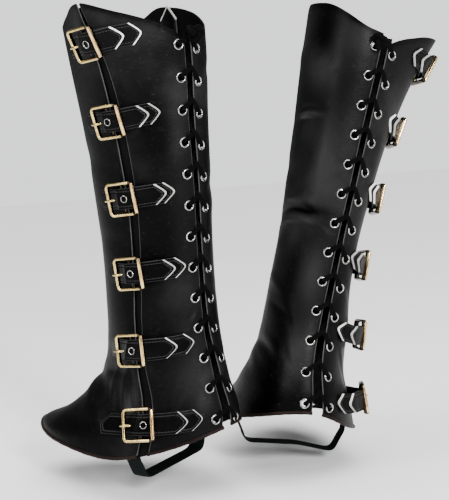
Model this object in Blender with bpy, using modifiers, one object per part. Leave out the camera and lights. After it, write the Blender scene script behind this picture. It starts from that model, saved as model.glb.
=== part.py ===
"""A worn pair of black leather half chaps, laced at the back and buckled down the outer side.

One chap is worked out as rings round a leg and a boot, and each of its pieces is a patch of that
surface moved out by its own layer's height. The second chap is the mirror image of the first, and
each has its own lean, turn and place. Sizes are in millimetres and become metres in the meshes.
"""

import math

import bmesh
import bpy
import numpy as np
from mathutils import Matrix, Vector

MM = 0.001

# The pair's origin is between the legs at mid calf, where the wearer holds it up.
HOLD_HEIGHT = 240.0

# Rings round the leather's outer face: height, reach from the leg's axis to the
# front and to the back, widest half breadth, how far in front of the axis the ring is widest, and
# how far the outer side stands out from that round at the slit, or is drawn in.
RING_COLUMNS = ("height", "front", "back", "half_breadth", "widest_at", "flare")
RINGS = np.array(
    (
        (35, 184, 66, 65, 40, 8),
        (50, 178, 67, 62, 35, 6),
        (62, 147, 67, 58.5, 30, 5),
        (75, 125, 67, 55, 26, 4),
        (100, 97, 61, 46, 18, 5),
        (125, 80, 57, 43, 10, 5),
        (150, 74, 53.5, 43.5, 3, 2),
        (190, 70, 53.5, 43.5, 0, -4.5),
        (240, 66.5, 56.5, 43.5, 0, -6.5),
        (300, 67, 62, 46.5, 0, -4.5),
        (360, 69.5, 66, 49.5, 0, 1.5),
        (420, 76, 72, 53, 0, 12),
        (470, 81, 73, 54.5, 0, 28.5),
        (510, 85, 74, 55, 0, 44),
    ),
    float,
)
FLARE_TURN = 100.0
FLARE_SPREAD = 32.0
SHIN_POINT = 1.18  # over 1 draws the front of a ring to a soft point
CALF_BREADTH = 0.89  # under 1 flattens the back of a ring

HEM_WAVES = (42.0, -13.0, 7.0)  # mean height, front to back wave, sides to ends wave
TOE_RISE = 12.0  # the hem climbs over the toe, centred on this turn and this far round
TOE_TURN = 12.0
TOE_SPREAD = 42.0
VAMP_RISE = 5.0  # and a little over the outer side of the instep
VAMP_TURN = 66.0
VAMP_SPREAD = 24.0
# The top edge's height round the leg, by turn.
TOP_EDGE = (
    (0, 455),
    (40, 461),
    (65, 468),
    (92, 475),
    (120, 463),
    (150, 448),
    (180, 442),
    (210, 448),
    (240, 463),
    (262, 470.5),
    (276, 472),
    (292, 461),
    (320, 456),
)
BACK_RISE_TURN = 215.0
BACK_RISE_SPREAD = 32.0
OUTER_RISE_TURN = 128.0  # where the outer side's top edge stands higher by outer_rise
OUTER_RISE_SPREAD = 20.0
OUTER_CORNER_DIP = 12.0  # the outer flap's top corner at the lacing is lower than the inner one
CORNER_REACH = 28.0

# Turns are in degrees round the leg: toe 0, outer side 90, back 180, inner side 270.
LACING_TURN = ((60, 173.5), (460, 167.5))
SLIT_TURN = (
    (40, 113.0),
    (75, 110.0),
    (100, 104.0),
    (130, 94.0),
    (165, 87.0),
    (200, 87.0),
    (240, 90.0),
    (280, 94.0),
    (330, 96.0),
    (430, 96.0),
    (490, 91.5),
)
LACING_HALF_GAP = ((60, 6.0), (130, 4.2), (460, 3.9))
SLIT_HALF_GAP = ((50, 5.5), (110, 5.0), (160, 4.25), (420, 4.25), (480, 1.5))
SET_IN = 1.2  # how far pieces behind the panels lie from them, which clears the panels' flat facets
UNDERLAP = 1.4
UNDERLAP_HALF_WIDTH = 12.0
UNDERLAP_ABOVE_HEM = -2.5
UNDERLAP_BELOW_TOP = 4.5
PEG_REACH = 6.0  # the eyelet cutters' reach to each side of the leather

LEATHER = 1.6
LAYER_GAP = 0.3
TOP_LAYER = LAYER_GAP + LEATHER  # where what lies on a panel begins

ROWS_DRAWN_DOWN = 1.25  # over 1 puts more of a panel's rows near the ankle, where it bends most

EYELET_ROWS = 13
TOP_EYELET_HEIGHT = 430.0
EYELET_PITCH = 30.0
EYELET_FROM_CENTRE = ((70, 14.0), (130, 11.5), (250, 10.5), (430, 10.5))
EYELET_HOLE_RADIUS = 2.6
EYELET_HOLE_SIDES = 8

LACE_WIDTH = 5.0
LACE_WIDTH_IN_HOLE = 3.4
LACE_WIDTH_CROSSING = 2.8
LACE_THICKNESS = 1.0
LACE_CROSSING_RISE = 12.0
LACE_OUT_OF_KNOT = ((3.2, 2.0), (4.5, -5.0))  # across and up from the knot
LACE_OVER_FLAP = 0.4
LACE_CROSSING_STANDS = (-0.1, 2.5)  # the strand below and the one on top
LACE_BESIDE_CROSSING = 0.8
LACE_AT_GAP_EDGE = 0.6
# Share of the eyelet's distance, rise or drop from it, out or in, and narrowing of the lace.
LACE_INTO_EYELET = ((0.72, 3.2, 0.45, 0.5), (0.97, 0.8, 0.0, 1.6))
LACE_OUT_OF_EYELET = ((0.97, 0.8, 0.9, 1.6), (0.72, 3.2, 1.4, 1.0))
LACE_BEHIND_CROSSING = 5.0
LACE_BEHIND_GAP = 0.55
LACE_BAR_DROP = 2.0
LACE_BAR_HALF = 8.0
LACE_BAR_LIFT = 0.1
KNOT_RISE = 11.0
KNOT_SIZE = (15.0, 15.0, 8.0)
# How far each knot sits towards the inner side, along the leg and off the leather.
KNOT_LIFT = {"left": (3.0, 1.0, 2.1), "right": (10.7, 7.4, 1.2)}

STRAP_WIDTH = 19.5
STRAP_THICKNESS = 2.0
STRAP_POINT = 9.0
STRAP_SHOULDER = 2.0
STRAP_UNDER_BAR = (-4, 4, 10)  # a buckle strap's first stations, folded at the centre bar
STRAP_RISE = 0.06  # each strap climbs a little towards the back
STRAP_COLUMNS = ("height", "ahead", "base", "tip", "under_tip", "bow")
# Each strap: its height, its buckle's lead on the slit, how far its base point, its free tip and the
# buckle strap's tip lie from the middle of the buckle, and how far it bows off the leather there.
STRAPS = (
    (441, 4.0, 52, 35, 51, 1.0),
    (368, 4.5, 43, 38, 48, 1.5),
    (293, 2.5, 40, 41, 48, 0.5),
    (220, -1.0, 42, 42, 51, 1.5),
    (145, -2.0, 50, 39, 55, 10.0),
    (70, 3.0, 53, 43, 57, 10.0),
)
BOW_PEAK = 6.0  # behind the buckle's middle

BUCKLE_SIDE = 30.0
BUCKLE_WIRE = 3.0
BUCKLE_CORNER = 3.5
BUCKLE_STAND = 7.4  # height of the frame's wire above the panel
CENTRE_BAR_DIAMETER = 2.0
CENTRE_BAR_STAND = 3.6
PRONG_DIAMETER = 2.2
PRONG_LENGTH = 10.0
PRONG_BEHIND = 2.0  # the prong's middle from the front bar
PRONG_SUNK = 0.5
BAR_ARM = 2.0
# The tip strap's height above the panel at distances from the buckle's middle: it lies on the panel,
# climbs over the centre bar, and comes down onto the buckle strap.
STRAP_OVER_BAR = ((-16, 0.3), (-9, 2.2), (-4, 4.8), (0, 5.2), (4, 5.1), (9, 3.8), (16, 2.6))

STIRRUP_WIDTH = 19.0
STIRRUP_BOTTOM = 10.0
STIRRUP_HALF_SPAN = 45.0
STIRRUP_AT = 16.0  # in front of the leg's axis
STIRRUP_SEWN = 16.0
STIRRUP_BEND = 9.0
STIRRUP_CLEAR = 2.3
STIRRUP_PAST_HEM = 2.0

BINDING_DIAMETER = 3.0

TAB_TURN = 265.0
TAB_WIDTH = 20.0
TAB_LENGTH = 46.0
TAB_POINT = 13.0
TAB_ABOVE_EDGE = 1.5

WELD = 0.001
SMOOTH_BELOW = math.radians(40)

ANKLE_HEIGHT = 110.0
HEM_SHARE = (0.57, 0.3)  # how much of the lean outwards and forwards the foot end takes
SLIP_REACH = 55.0
SLIP_GROWS = (60.0, 0.0012)  # from this height up, and by how much of itself for each millimetre
# side is -1 for the left leg and 1 for the right. The lean is the top's, outwards and forwards, in
# radians. eyelet_drop is for the outer and inner rows. outer_slip is how far the outer side has slid
# down, and back_rise how far the top edge stands higher between the back and the inner side.
CHAPS = (
    dict(name="left", side=-1, place=(-68.0, 15.0), toe_out=24.0, lean=(0.069, 0.011),
         eyelet_drop=(0.0, 5.0), outer_slip=0.0, back_rise=0.0, outer_rise=0.0),
    dict(name="right", side=1, place=(68.0, -15.0), toe_out=24.0, lean=(0.249, 0.057),
         eyelet_drop=(2.0, 0.0), outer_slip=6.5, back_rise=11.0, outer_rise=4.0),
)


def clear_scene():
    for thing in list(bpy.data.objects):
        bpy.data.objects.remove(thing, do_unlink=True)


def along(table, at):
    """A smooth curve through a table's rows: cubic pieces whose slopes are those between the neighbours."""
    rows = np.asarray(table, float)
    known, values = rows[:, 0], rows[:, 1]
    at = np.clip(np.asarray(at, float), known[0], known[-1])
    slopes = np.gradient(values, known)
    index = np.clip(np.searchsorted(known, at) - 1, 0, len(known) - 2)
    step = known[index + 1] - known[index]
    t = (at - known[index]) / step
    return (
        (2 * t**3 - 3 * t**2 + 1) * values[index]
        + (t**3 - 2 * t**2 + t) * step * slopes[index]
        + (3 * t**2 - 2 * t**3) * values[index + 1]
        + (t**3 - t**2) * step * slopes[index + 1]
    )


def ring(column, height):
    return along(RINGS[:, [0, RING_COLUMNS.index(column)]], height)


def on_ring(turn, height, drawn_in=1.0):
    """Points on the leather's outer face, as outwards, forwards and up."""
    turn, height = np.broadcast_arrays(np.asarray(turn, float), np.asarray(height, float))
    sine = np.sin(np.radians(turn))
    cosine = np.cos(np.radians(turn))
    widest = ring("widest_at", height)
    ahead = np.where(cosine > 0, ring("front", height) - widest, ring("back", height) + widest)
    power = np.where(cosine > 0, SHIN_POINT, CALF_BREADTH)
    across = ring("half_breadth", height) * np.sign(sine) * np.abs(sine) ** power
    from_flare = ((turn - FLARE_TURN + 180) % 360 - 180) / FLARE_SPREAD
    flare = ring("flare", height)
    across = across + np.where(flare > 0, flare, flare * drawn_in) * np.exp(-from_flare**2)
    return np.stack([across, widest + ahead * cosine, height], axis=-1)


def on_leg(turn, height, out=0.0, drawn_in=1.0):
    """Points a given height out from the leather's inner face, along its normal.

    Straps stand off where the leather is drawn in between their ends: there drawn_in is 0 for them.
    """
    small_turn, small_rise = 0.6, 0.5
    round_leg = on_ring(turn + small_turn, height, drawn_in) - on_ring(turn - small_turn, height, drawn_in)
    up_leg = on_ring(turn, height + small_rise, drawn_in) - on_ring(turn, height - small_rise, drawn_in)
    normal = np.cross(up_leg, round_leg)
    normal /= np.linalg.norm(normal, axis=-1, keepdims=True)
    return on_ring(turn, height, drawn_in) + normal * (np.asarray(out, float) - LEATHER)[..., None]


def walk(turn, height, distance):
    """The turn reached from another by going a distance round the leg at one height."""
    turns = turn + np.arange(-110.0, 110.5, 1.0)
    points = on_ring(turns, height)
    steps = np.linalg.norm(np.diff(points, axis=0), axis=1)
    gone = np.concatenate([[0.0], np.cumsum(steps)])
    gone -= np.interp(turn, turns, gone)
    return np.interp(distance, gone, turns)


def walk_each(table, heights, distances):
    starts = along(table, heights)
    distances = np.broadcast_to(distances, heights.shape)
    return np.array([walk(*row) for row in zip(starts, heights, distances)])


def wave(waves, turn):
    angle = np.radians(turn)
    return waves[0] + waves[1] * np.cos(angle) + waves[2] * np.cos(2 * angle)


def hem_height(turn):
    from_toe = (np.asarray(turn, float) - TOE_TURN + 180) % 360 - 180
    from_vamp = (np.asarray(turn, float) - VAMP_TURN + 180) % 360 - 180
    toe_rise = TOE_RISE * np.exp(-((from_toe / TOE_SPREAD) ** 2))
    return wave(HEM_WAVES, turn) + toe_rise + VAMP_RISE * np.exp(-((from_vamp / VAMP_SPREAD) ** 2))


def top_height(chap, turn, outer_flap=False):
    """The top edge, which dips towards the lacing on the outer flap."""
    rows = np.array(TOP_EDGE, float)
    once_round = np.array((360.0, 0.0))
    round_leg = np.asarray(turn, float) % 360
    height = along(np.vstack([rows - once_round, rows, rows + once_round]), round_leg)
    height = height + chap["back_rise"] * np.exp(-(((round_leg - BACK_RISE_TURN) / BACK_RISE_SPREAD) ** 2))
    from_rise = (round_leg - OUTER_RISE_TURN) / OUTER_RISE_SPREAD
    height = height + chap["outer_rise"] * np.exp(-(from_rise**2))
    from_corner = (along(LACING_TURN, 460) - np.asarray(turn, float)) / CORNER_REACH
    return height - OUTER_CORNER_DIP * outer_flap * np.clip(1 - from_corner, 0, 1) ** 2


def lean_with(chap, points):
    """Leans points outwards and forwards about the ankle. The foot end takes only a share of it."""
    across, ahead, height = np.moveaxis(points, -1, 0)
    outer = np.clip(across / SLIP_REACH, 0, 1)
    slip = chap["outer_slip"] * (1 + SLIP_GROWS[1] * np.clip(height - SLIP_GROWS[0], 0, None))
    height = height - slip * outer * outer * (3 - 2 * outer)
    rise = np.clip((height - 70) / 80, 0, 1)
    rise = rise * rise * (3 - 2 * rise)
    tip_out, tip_ahead = (
        lean * (share + (1 - share) * rise) for lean, share in zip(chap["lean"], HEM_SHARE)
    )
    above = height - ANKLE_HEIGHT
    leaned = np.stack(
        [
            across * np.cos(tip_out) + above * np.sin(tip_out),
            ahead * np.cos(tip_ahead) + above * np.sin(tip_ahead),
            ANKLE_HEIGHT
            + above * np.cos(tip_out) * np.cos(tip_ahead)
            - across * np.sin(tip_out)
            - ahead * np.sin(tip_ahead),
        ],
        axis=-1,
    )
    leaned[..., 0] *= chap["side"]
    leaned[..., 2] -= HOLD_HEIGHT
    return leaned * MM


def leather_material(name, shade, roughness, metallic=0.0):
    material = bpy.data.materials.new(name)
    material.use_nodes = True
    shader = material.node_tree.nodes["Principled BSDF"]
    shader.inputs["Base Color"].default_value = (*shade, 1)
    shader.inputs["Roughness"].default_value = roughness
    shader.inputs["Metallic"].default_value = metallic
    material.diffuse_color = (*shade, 1)
    return material


def add_object(chap, name, mesh, material):
    mesh.materials.clear()
    mesh.materials.append(material)
    if isinstance(mesh, bpy.types.Mesh):
        mesh.shade_smooth()
        mesh.set_sharp_from_angle(angle=SMOOTH_BELOW)
    thing = bpy.data.objects.new(f"{chap['name']}_{name}", mesh)
    chap["collection"].objects.link(thing)
    thing.parent = chap["empty"]
    return thing


def sheet(chap, name, columns, rows, place, thickness, material, offset=1):
    """A grid whose corners run over 0 to 1 each way, laid where place says, then thickened outwards."""
    grid = bmesh.new()
    bmesh.ops.create_grid(grid, x_segments=columns, y_segments=rows, size=0.5)
    u = np.array([v.co.x + 0.5 for v in grid.verts])
    v = np.array([v.co.y + 0.5 for v in grid.verts])
    for vertex, point in zip(grid.verts, lean_with(chap, place(u, v))):
        vertex.co = point
    if chap["side"] > 0:
        bmesh.ops.reverse_faces(grid, faces=grid.faces)
    mesh = bpy.data.meshes.new(name)
    grid.to_mesh(mesh)
    grid.free()
    thing = add_object(chap, name, mesh, material)
    wall = thing.modifiers.new("wall", "SOLIDIFY")
    wall.thickness = thickness * MM
    wall.offset = offset
    wall.use_even_offset = True
    return thing


def eyelet_heights(chap, flap):
    drop = chap["eyelet_drop"][0 if flap == "outer" else 1]
    return TOP_EYELET_HEIGHT - drop - EYELET_PITCH * np.arange(EYELET_ROWS)


def eyelet_turns(chap, flap):
    heights = eyelet_heights(chap, flap)
    away = along(EYELET_FROM_CENTRE, heights)
    return walk_each(LACING_TURN, heights, -away if flap == "outer" else away)


def cut_eyelets(chap, panel, flap):
    """One cutter of thirteen short pegs, each standing on the leather along its normal."""
    pegs = bmesh.new()
    for turn, height in zip(eyelet_turns(chap, flap), eyelet_heights(chap, flap)):
        ends = (on_leg(turn, height, out) for out in (-PEG_REACH, PEG_REACH))
        inside, outside = (Vector(lean_with(chap, end)) for end in ends)
        facing = (outside - inside).to_track_quat("Z", "Y").to_matrix().to_4x4()
        bmesh.ops.create_cone(
            pegs,
            cap_ends=True,
            segments=EYELET_HOLE_SIDES,
            radius1=EYELET_HOLE_RADIUS * MM,
            radius2=EYELET_HOLE_RADIUS * MM,
            depth=(outside - inside).length,
            matrix=Matrix.Translation((inside + outside) / 2) @ facing,
        )
    mesh = bpy.data.meshes.new(f"{panel.name}_pegs")
    pegs.to_mesh(mesh)
    pegs.free()
    cutter = bpy.data.objects.new(f"{panel.name}_pegs", mesh)
    chap["cutters"].objects.link(cutter)
    cutter.parent = chap["empty"]
    cutter.hide_render = True
    cutter.display_type = "WIRE"
    holes = panel.modifiers.new("eyelet_holes", "BOOLEAN")
    holes.operation = "DIFFERENCE"
    holes.solver = "EXACT"
    holes.object = cutter


def panel_place(chap, start, end, outer_flap, lowest=0.0, highest=0.0, out=0.0):
    """Maps a grid onto the leg between two edges, each a function that gives a turn at a height."""

    def place(u, v):
        v = v**ROWS_DRAWN_DOWN
        rough = 60 + 400 * v
        for _ in range(3):
            turn = start(rough) + (end(rough) - start(rough)) * u
            top = top_height(chap, turn, outer_flap) - highest
            rough = (hem_height(turn) + lowest) * (1 - v) + top * v
        return on_leg(turn, rough, out)

    return place


def edge(table, distances):
    """An edge a given distance round from a line on the leg, read from a few worked-out heights."""
    heights = np.linspace(35, 500, 24)
    reach = along(distances, heights) if isinstance(distances, tuple) else np.full(24, float(distances))
    turns = walk_each(table, heights, reach)
    return lambda height: np.interp(height, heights, turns)


def mirrored(table):
    return tuple((height, -value) for height, value in table)


def add_panels(chap, leather):
    slit_front = edge(SLIT_TURN, mirrored(SLIT_HALF_GAP))
    slit_back = edge(SLIT_TURN, SLIT_HALF_GAP)
    lacing_outer = edge(LACING_TURN, mirrored(LACING_HALF_GAP))
    lacing_inner = edge(LACING_TURN, LACING_HALF_GAP)
    place = panel_place(chap, slit_back, lacing_outer, True)
    outer = sheet(chap, "outer_panel", 6, 18, place, LEATHER, leather)
    cut_eyelets(chap, outer, "outer")
    wrap_end = lambda height: lacing_inner(height) - 360
    place = panel_place(chap, wrap_end, slit_front, False)
    wrap = sheet(chap, "wrap_panel", 20, 18, place, LEATHER, leather)
    cut_eyelets(chap, wrap, "inner")


def add_underlap(chap, leather):
    """The strip behind the slit that the straps draw the two panels' edges over."""
    first, last = edge(SLIT_TURN, -UNDERLAP_HALF_WIDTH), edge(SLIT_TURN, UNDERLAP_HALF_WIDTH)
    inner_face = -SET_IN - UNDERLAP
    place = panel_place(chap, first, last, True, UNDERLAP_ABOVE_HEM, UNDERLAP_BELOW_TOP, inner_face)
    sheet(chap, "slit_underlap", 2, 14, place, UNDERLAP, leather)


def strap_turn(row):
    return walk(along(SLIT_TURN, row["height"]), row["height"], -row["ahead"])


def lifted(row, gone):
    """How much of its lift a strap has: all of it behind the buckle, none where its ends are sewn."""
    reach = np.where(gone < BOW_PEAK, row["base"] + BOW_PEAK, row["under_tip"] - BOW_PEAK)
    return np.clip(1 - ((gone - BOW_PEAK) / reach) ** 2, 0, 1)


def bow(row, gone):
    """How far a strap stands off the leather."""
    return row["bow"] * lifted(row, gone) ** np.where(gone < BOW_PEAK, 2.0, 1.2)


def strap_place(row, stations, stand, pointed_base):
    """Maps a grid onto a strap whose columns lie at the stations, its end columns drawn to a point."""
    centre = strap_turn(row)

    def place(u, v):
        column = np.round(u * (len(stations) - 1)).astype(int)
        point = STRAP_POINT * np.abs(2 * v - 1)
        first, last = column == 0, column == len(stations) - 1
        gone = stations[column] - point * last + point * (first & pointed_base)
        turn = walk(centre, row["height"], gone)
        height = row["height"] + (v - 0.5) * STRAP_WIDTH + STRAP_RISE * gone
        return on_leg(turn, height, stand(gone) + bow(row, gone), drawn_in=1 - lifted(row, gone))

    return place


def add_strap(chap, number, values, strap_leather, brass):
    row = dict(zip(STRAP_COLUMNS, values))
    point = STRAP_POINT + STRAP_SHOULDER
    crossing = np.array([at for at, _ in STRAP_OVER_BAR])
    over_bar = np.array([stand for _, stand in STRAP_OVER_BAR])
    along_base = np.linspace(point - row["base"], crossing[0], 3)[:2]
    along_back = np.linspace(crossing[-1], row["tip"] - point, 4)[1:]
    tip_stations = np.concatenate([[-row["base"]], along_base, crossing, along_back, [row["tip"]]])
    under_end = [row["under_tip"] - point, row["under_tip"]]
    under_stations = np.concatenate([STRAP_UNDER_BAR, crossing[-1:], along_back, under_end])
    under = strap_place(row, under_stations, lambda gone: TOP_LAYER + 0 * gone, False)
    over = strap_place(row, tip_stations, lambda gone: LEATHER + np.interp(gone, crossing, over_bar), True)
    sheet(chap, f"buckle_strap_{number}", len(under_stations) - 1, 2, under, STRAP_THICKNESS, strap_leather)
    sheet(chap, f"tip_strap_{number}", len(tip_stations) - 1, 2, over, STRAP_THICKNESS, strap_leather)
    add_buckle(chap, number, row, brass)


def frame_at(chap, turn, height, slope, drawn_in=1.0):
    """Axes that stand on the leather: along a strap that climbs by the slope, up the leg, and out of it."""
    step = 2.0
    next_turn = walk(turn, height, step)
    corners = (turn, height, 0), (next_turn, height + slope * step, 0), (turn, height + step, 0)
    here, beside, above = (Vector(lean_with(chap, on_leg(*corner, drawn_in))) for corner in corners)
    onwards = (beside - here).normalized()
    out = onwards.cross(above - here).normalized() * -chap["side"]
    matrix = Matrix((onwards, out.cross(onwards), out)).transposed().to_4x4()
    matrix.translation = here
    return matrix


def round_curve(name, points, diameter, closed=False):
    """A curve of round section through points in metres."""
    curve = bpy.data.curves.new(name, "CURVE")
    curve.dimensions = "3D"
    curve.bevel_depth = diameter / 2 * MM
    curve.bevel_resolution = 1
    curve.use_fill_caps = True
    spline = curve.splines.new("POLY")
    spline.points.add(len(points) - 1)
    for knot, point in zip(spline.points, points):
        knot.co = (*point, 1)
    spline.use_cyclic_u = closed
    return curve


def wire(name, points, diameter, closed=False):
    """A round wire through points in millimetres, as a mesh object whose caps are welded on."""
    curve = round_curve(name, np.array(points) * MM, diameter, closed)
    holder = bpy.data.objects.new(name, curve)
    bpy.context.scene.collection.objects.link(holder)
    mesh = bpy.data.meshes.new_from_object(holder)
    bpy.data.objects.remove(holder, do_unlink=True)
    bpy.data.curves.remove(curve)
    welded = bmesh.new()
    welded.from_mesh(mesh)
    bmesh.ops.remove_doubles(welded, verts=welded.verts, dist=WELD * MM)
    welded.to_mesh(mesh)
    welded.free()
    made = bpy.data.objects.new(name, mesh)
    bpy.context.scene.collection.objects.link(made)
    return made


def buckle_mesh():
    """A square frame of round wire, its centre bar bent down, and the prong's end on its front bar."""
    half = BUCKLE_SIDE / 2
    inset = half - BUCKLE_CORNER
    corners = [
        (x * inset + BUCKLE_CORNER * math.cos(a), y * inset + BUCKLE_CORNER * math.sin(a), BUCKLE_STAND)
        for x, y, first in ((1, 1, 0), (-1, 1, 90), (-1, -1, 180), (1, -1, 270))
        for a in (math.radians(first + share * 90) for share in (0, 0.5, 1))
    ]
    frame = wire("buckle_frame", corners, BUCKLE_WIRE, closed=True)
    bend = half - BAR_ARM
    heights = (BUCKLE_STAND, CENTRE_BAR_STAND, CENTRE_BAR_STAND, BUCKLE_STAND)
    bar = [(0, y, z) for y, z in zip((-half, -bend, bend, half), heights)]
    rest = BUCKLE_STAND + BUCKLE_WIRE / 2 + PRONG_DIAMETER / 2 - PRONG_SUNK
    prong = [(x - half + PRONG_BEHIND, 0, rest) for x in (-PRONG_LENGTH / 2, PRONG_LENGTH / 2)]
    pieces = [wire("centre_bar", bar, CENTRE_BAR_DIAMETER), wire("prong", prong, PRONG_DIAMETER)]
    for piece in pieces:
        join = frame.modifiers.new(piece.name, "BOOLEAN")
        join.operation = "UNION"
        join.solver = "EXACT"
        join.object = piece
    bpy.context.view_layer.update()
    mesh = bpy.data.meshes.new_from_object(frame.evaluated_get(bpy.context.evaluated_depsgraph_get()))
    for thing in [*pieces, frame]:
        bpy.data.objects.remove(thing, do_unlink=True)
    return mesh


def add_buckle(chap, number, row, brass):
    buckle = add_object(chap, f"buckle_{number}", chap["buckle"].copy(), brass)
    seat = Matrix.Translation((0, 0, (LEATHER + float(bow(row, 0.0))) * MM))
    buckle.matrix_local = frame_at(chap, strap_turn(row), row["height"], STRAP_RISE, drawn_in=0) @ seat


def lace_route(chap):
    """The lace's middle line, its widthwise directions and its widths, from the knot down and back up.

    Each strand goes out over a flap and down into an eyelet, then inside to the gap, where it comes up
    and crosses to the other flap. The strand that crosses on top changes with each row.
    """
    heights = {-1: eyelet_heights(chap, "outer"), 1: eyelet_heights(chap, "inner")}
    rows = (heights[-1] + heights[1]) / 2
    above = LEATHER + LAYER_GAP + LACE_THICKNESS / 2
    below = -LAYER_GAP - LACE_THICKNESS / 2

    def strand(first_flap):
        """Rows of distance across the lacing, height, distance out, and width."""
        steps = []
        for row, middle in enumerate(rows):
            flap = first_flap if row % 2 == 0 else -first_flap
            height = heights[flap][row]
            eyelet = flap * along(EYELET_FROM_CENTRE, height)
            gap = flap * along(LACING_HALF_GAP, height)
            if row == 0:
                for across, rise in LACE_OUT_OF_KNOT:
                    level = middle + KNOT_RISE + rise
                    steps.append((flap * across, level, above + LACE_OVER_FLAP, LACE_WIDTH))
            else:
                on_top = (first_flap > 0) == (row % 2 == 0)
                stand = LACE_CROSSING_STANDS[on_top]
                steps.append((0, middle + LACE_CROSSING_RISE, stand, LACE_WIDTH_CROSSING))
                rise = middle + LACE_BESIDE_CROSSING * LACE_CROSSING_RISE
                steps.append((gap / 2, rise, above + LACE_AT_GAP_EDGE, LACE_WIDTH - 1))
            for share, rise, out, narrower in LACE_INTO_EYELET:
                steps.append((share * eyelet, height + rise, above + out, LACE_WIDTH - narrower))
            steps.append((eyelet, height, LEATHER / 2, LACE_WIDTH_IN_HOLE))
            for share, drop, out, narrower in LACE_OUT_OF_EYELET[: 1 if row == EYELET_ROWS - 1 else 2]:
                steps.append((share * eyelet, height - drop, below - out, LACE_WIDTH - narrower))
            if row < EYELET_ROWS - 1:
                rise = rows[row + 1] + LACE_CROSSING_RISE + LACE_BEHIND_CROSSING
                steps.append((LACE_BEHIND_GAP * gap, rise, below - SET_IN, LACE_WIDTH - 1))
        return steps

    low, out = rows[-1] - LACE_BAR_DROP, below - LACE_WIDTH_IN_HOLE / 2 + LACE_BAR_LIFT
    bar = [(x, low, out, LACE_WIDTH_IN_HOLE) for x in (-LACE_BAR_HALF, 0.0, LACE_BAR_HALF)]
    steps = np.array(strand(-1) + bar + strand(1)[::-1])
    middle = []
    for across, height, out, _ in steps:
        centre = along(LACING_TURN, height)
        middle.append(on_leg(walk(centre, height, across), height, out))
    middle = np.array(middle)
    travel = np.gradient(middle, axis=0)
    levels = steps[:, 1]
    facing = on_leg(along(LACING_TURN, levels), levels, 5) - on_leg(along(LACING_TURN, levels), levels)
    flat = travel - facing * (travel * facing).sum(1, keepdims=True) / (facing**2).sum(1, keepdims=True)
    widthwise = np.cross(facing, flat)
    widthwise /= np.linalg.norm(widthwise, axis=1, keepdims=True)
    for step in range(1, len(steps)):
        if widthwise[step] @ widthwise[step - 1] < 0:
            widthwise[step] *= -1
    return middle, widthwise, steps[:, 3]


def add_lace(chap, lace_black):
    middle, widthwise, widths = lace_route(chap)

    def place(u, v):
        step = np.round(u * (len(middle) - 1)).astype(int)
        return middle[step] + widthwise[step] * (widths[step] * (v - 0.5))[:, None]

    sheet(chap, "lace", len(middle) - 1, 1, place, LACE_THICKNESS, lace_black, offset=0)
    height = TOP_EYELET_HEIGHT - np.mean(chap["eyelet_drop"]) + KNOT_RISE
    bpy.ops.mesh.primitive_uv_sphere_add(segments=10, ring_count=6, radius=0.5 * MM)
    ball = bpy.context.object
    mesh = ball.data.copy()
    bpy.data.objects.remove(ball, do_unlink=True)
    mesh.transform(Matrix.Diagonal((*KNOT_SIZE, 1)))
    knot = add_object(chap, "lace_knot", mesh, lace_black)
    across, up, out = KNOT_LIFT[chap["name"]]
    seat = Matrix.Translation((across * MM, up * MM, (LEATHER + out + KNOT_SIZE[2] / 2) * MM))
    knot.matrix_local = frame_at(chap, along(LACING_TURN, height), height, 0) @ seat


def add_bindings(chap, dark_binding):
    """Rolled edging round the hem, one length for each panel, hung just under the panel's edge."""
    radius = BINDING_DIAMETER / 2
    spans = {
        "outer_binding": (edge(SLIT_TURN, SLIT_HALF_GAP), edge(LACING_TURN, mirrored(LACING_HALF_GAP)), 8),
        "wrap_binding": (edge(LACING_TURN, LACING_HALF_GAP), edge(SLIT_TURN, mirrored(SLIT_HALF_GAP)), 22),
    }
    for name, (begin, end, steps) in spans.items():
        first, last = float(begin(50)), float(end(50))
        if name == "wrap_binding":
            first -= 360
        turns = np.linspace(first, last, steps + 1)
        points = on_leg(turns, hem_height(turns) - LAYER_GAP - radius, np.full(len(turns), radius))
        add_object(chap, name, round_curve(name, lean_with(chap, points), BINDING_DIAMETER), dark_binding)


def add_stirrup(chap, strap_leather):
    """The strap under the arch: down inside the outer hem, across, and up inside the inner hem."""
    side_turn = 90.0
    hang = ring("half_breadth", hem_height(side_turn)) - LAYER_GAP - STRAP_THICKNESS
    top = float(hem_height(side_turn)) + STIRRUP_SEWN
    half = [(ring("half_breadth", top) - LAYER_GAP - STRAP_THICKNESS - STIRRUP_CLEAR, top)]
    half.append((hang - STIRRUP_CLEAR, float(hem_height(side_turn)) - STIRRUP_PAST_HEM))
    half += [
        (STIRRUP_HALF_SPAN - STIRRUP_PAST_HEM + STIRRUP_BEND * math.cos(a),
         STIRRUP_BOTTOM + STIRRUP_BEND - STIRRUP_BEND * math.sin(a))
        for a in np.radians((0, 30, 60, 90))
    ]
    half.append((0.0, STIRRUP_BOTTOM))
    route = np.array([(x, z) for x, z in half] + [(-x, z) for x, z in half[-2::-1]], float)
    gone = np.concatenate([[0], np.cumsum(np.linalg.norm(np.diff(route, axis=0), axis=1))])

    def place(u, v):
        count = len(route) - 1
        at = np.interp(np.round(u * count), np.arange(count + 1), gone)
        x, z = (np.interp(at, gone, route[:, k]) for k in (0, 1))
        y = STIRRUP_AT + (v - 0.5) * STIRRUP_WIDTH
        return np.stack([x, y, z], axis=-1)

    sheet(chap, "stirrup", len(route) - 1, 1, place, STRAP_THICKNESS, strap_leather)


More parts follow.
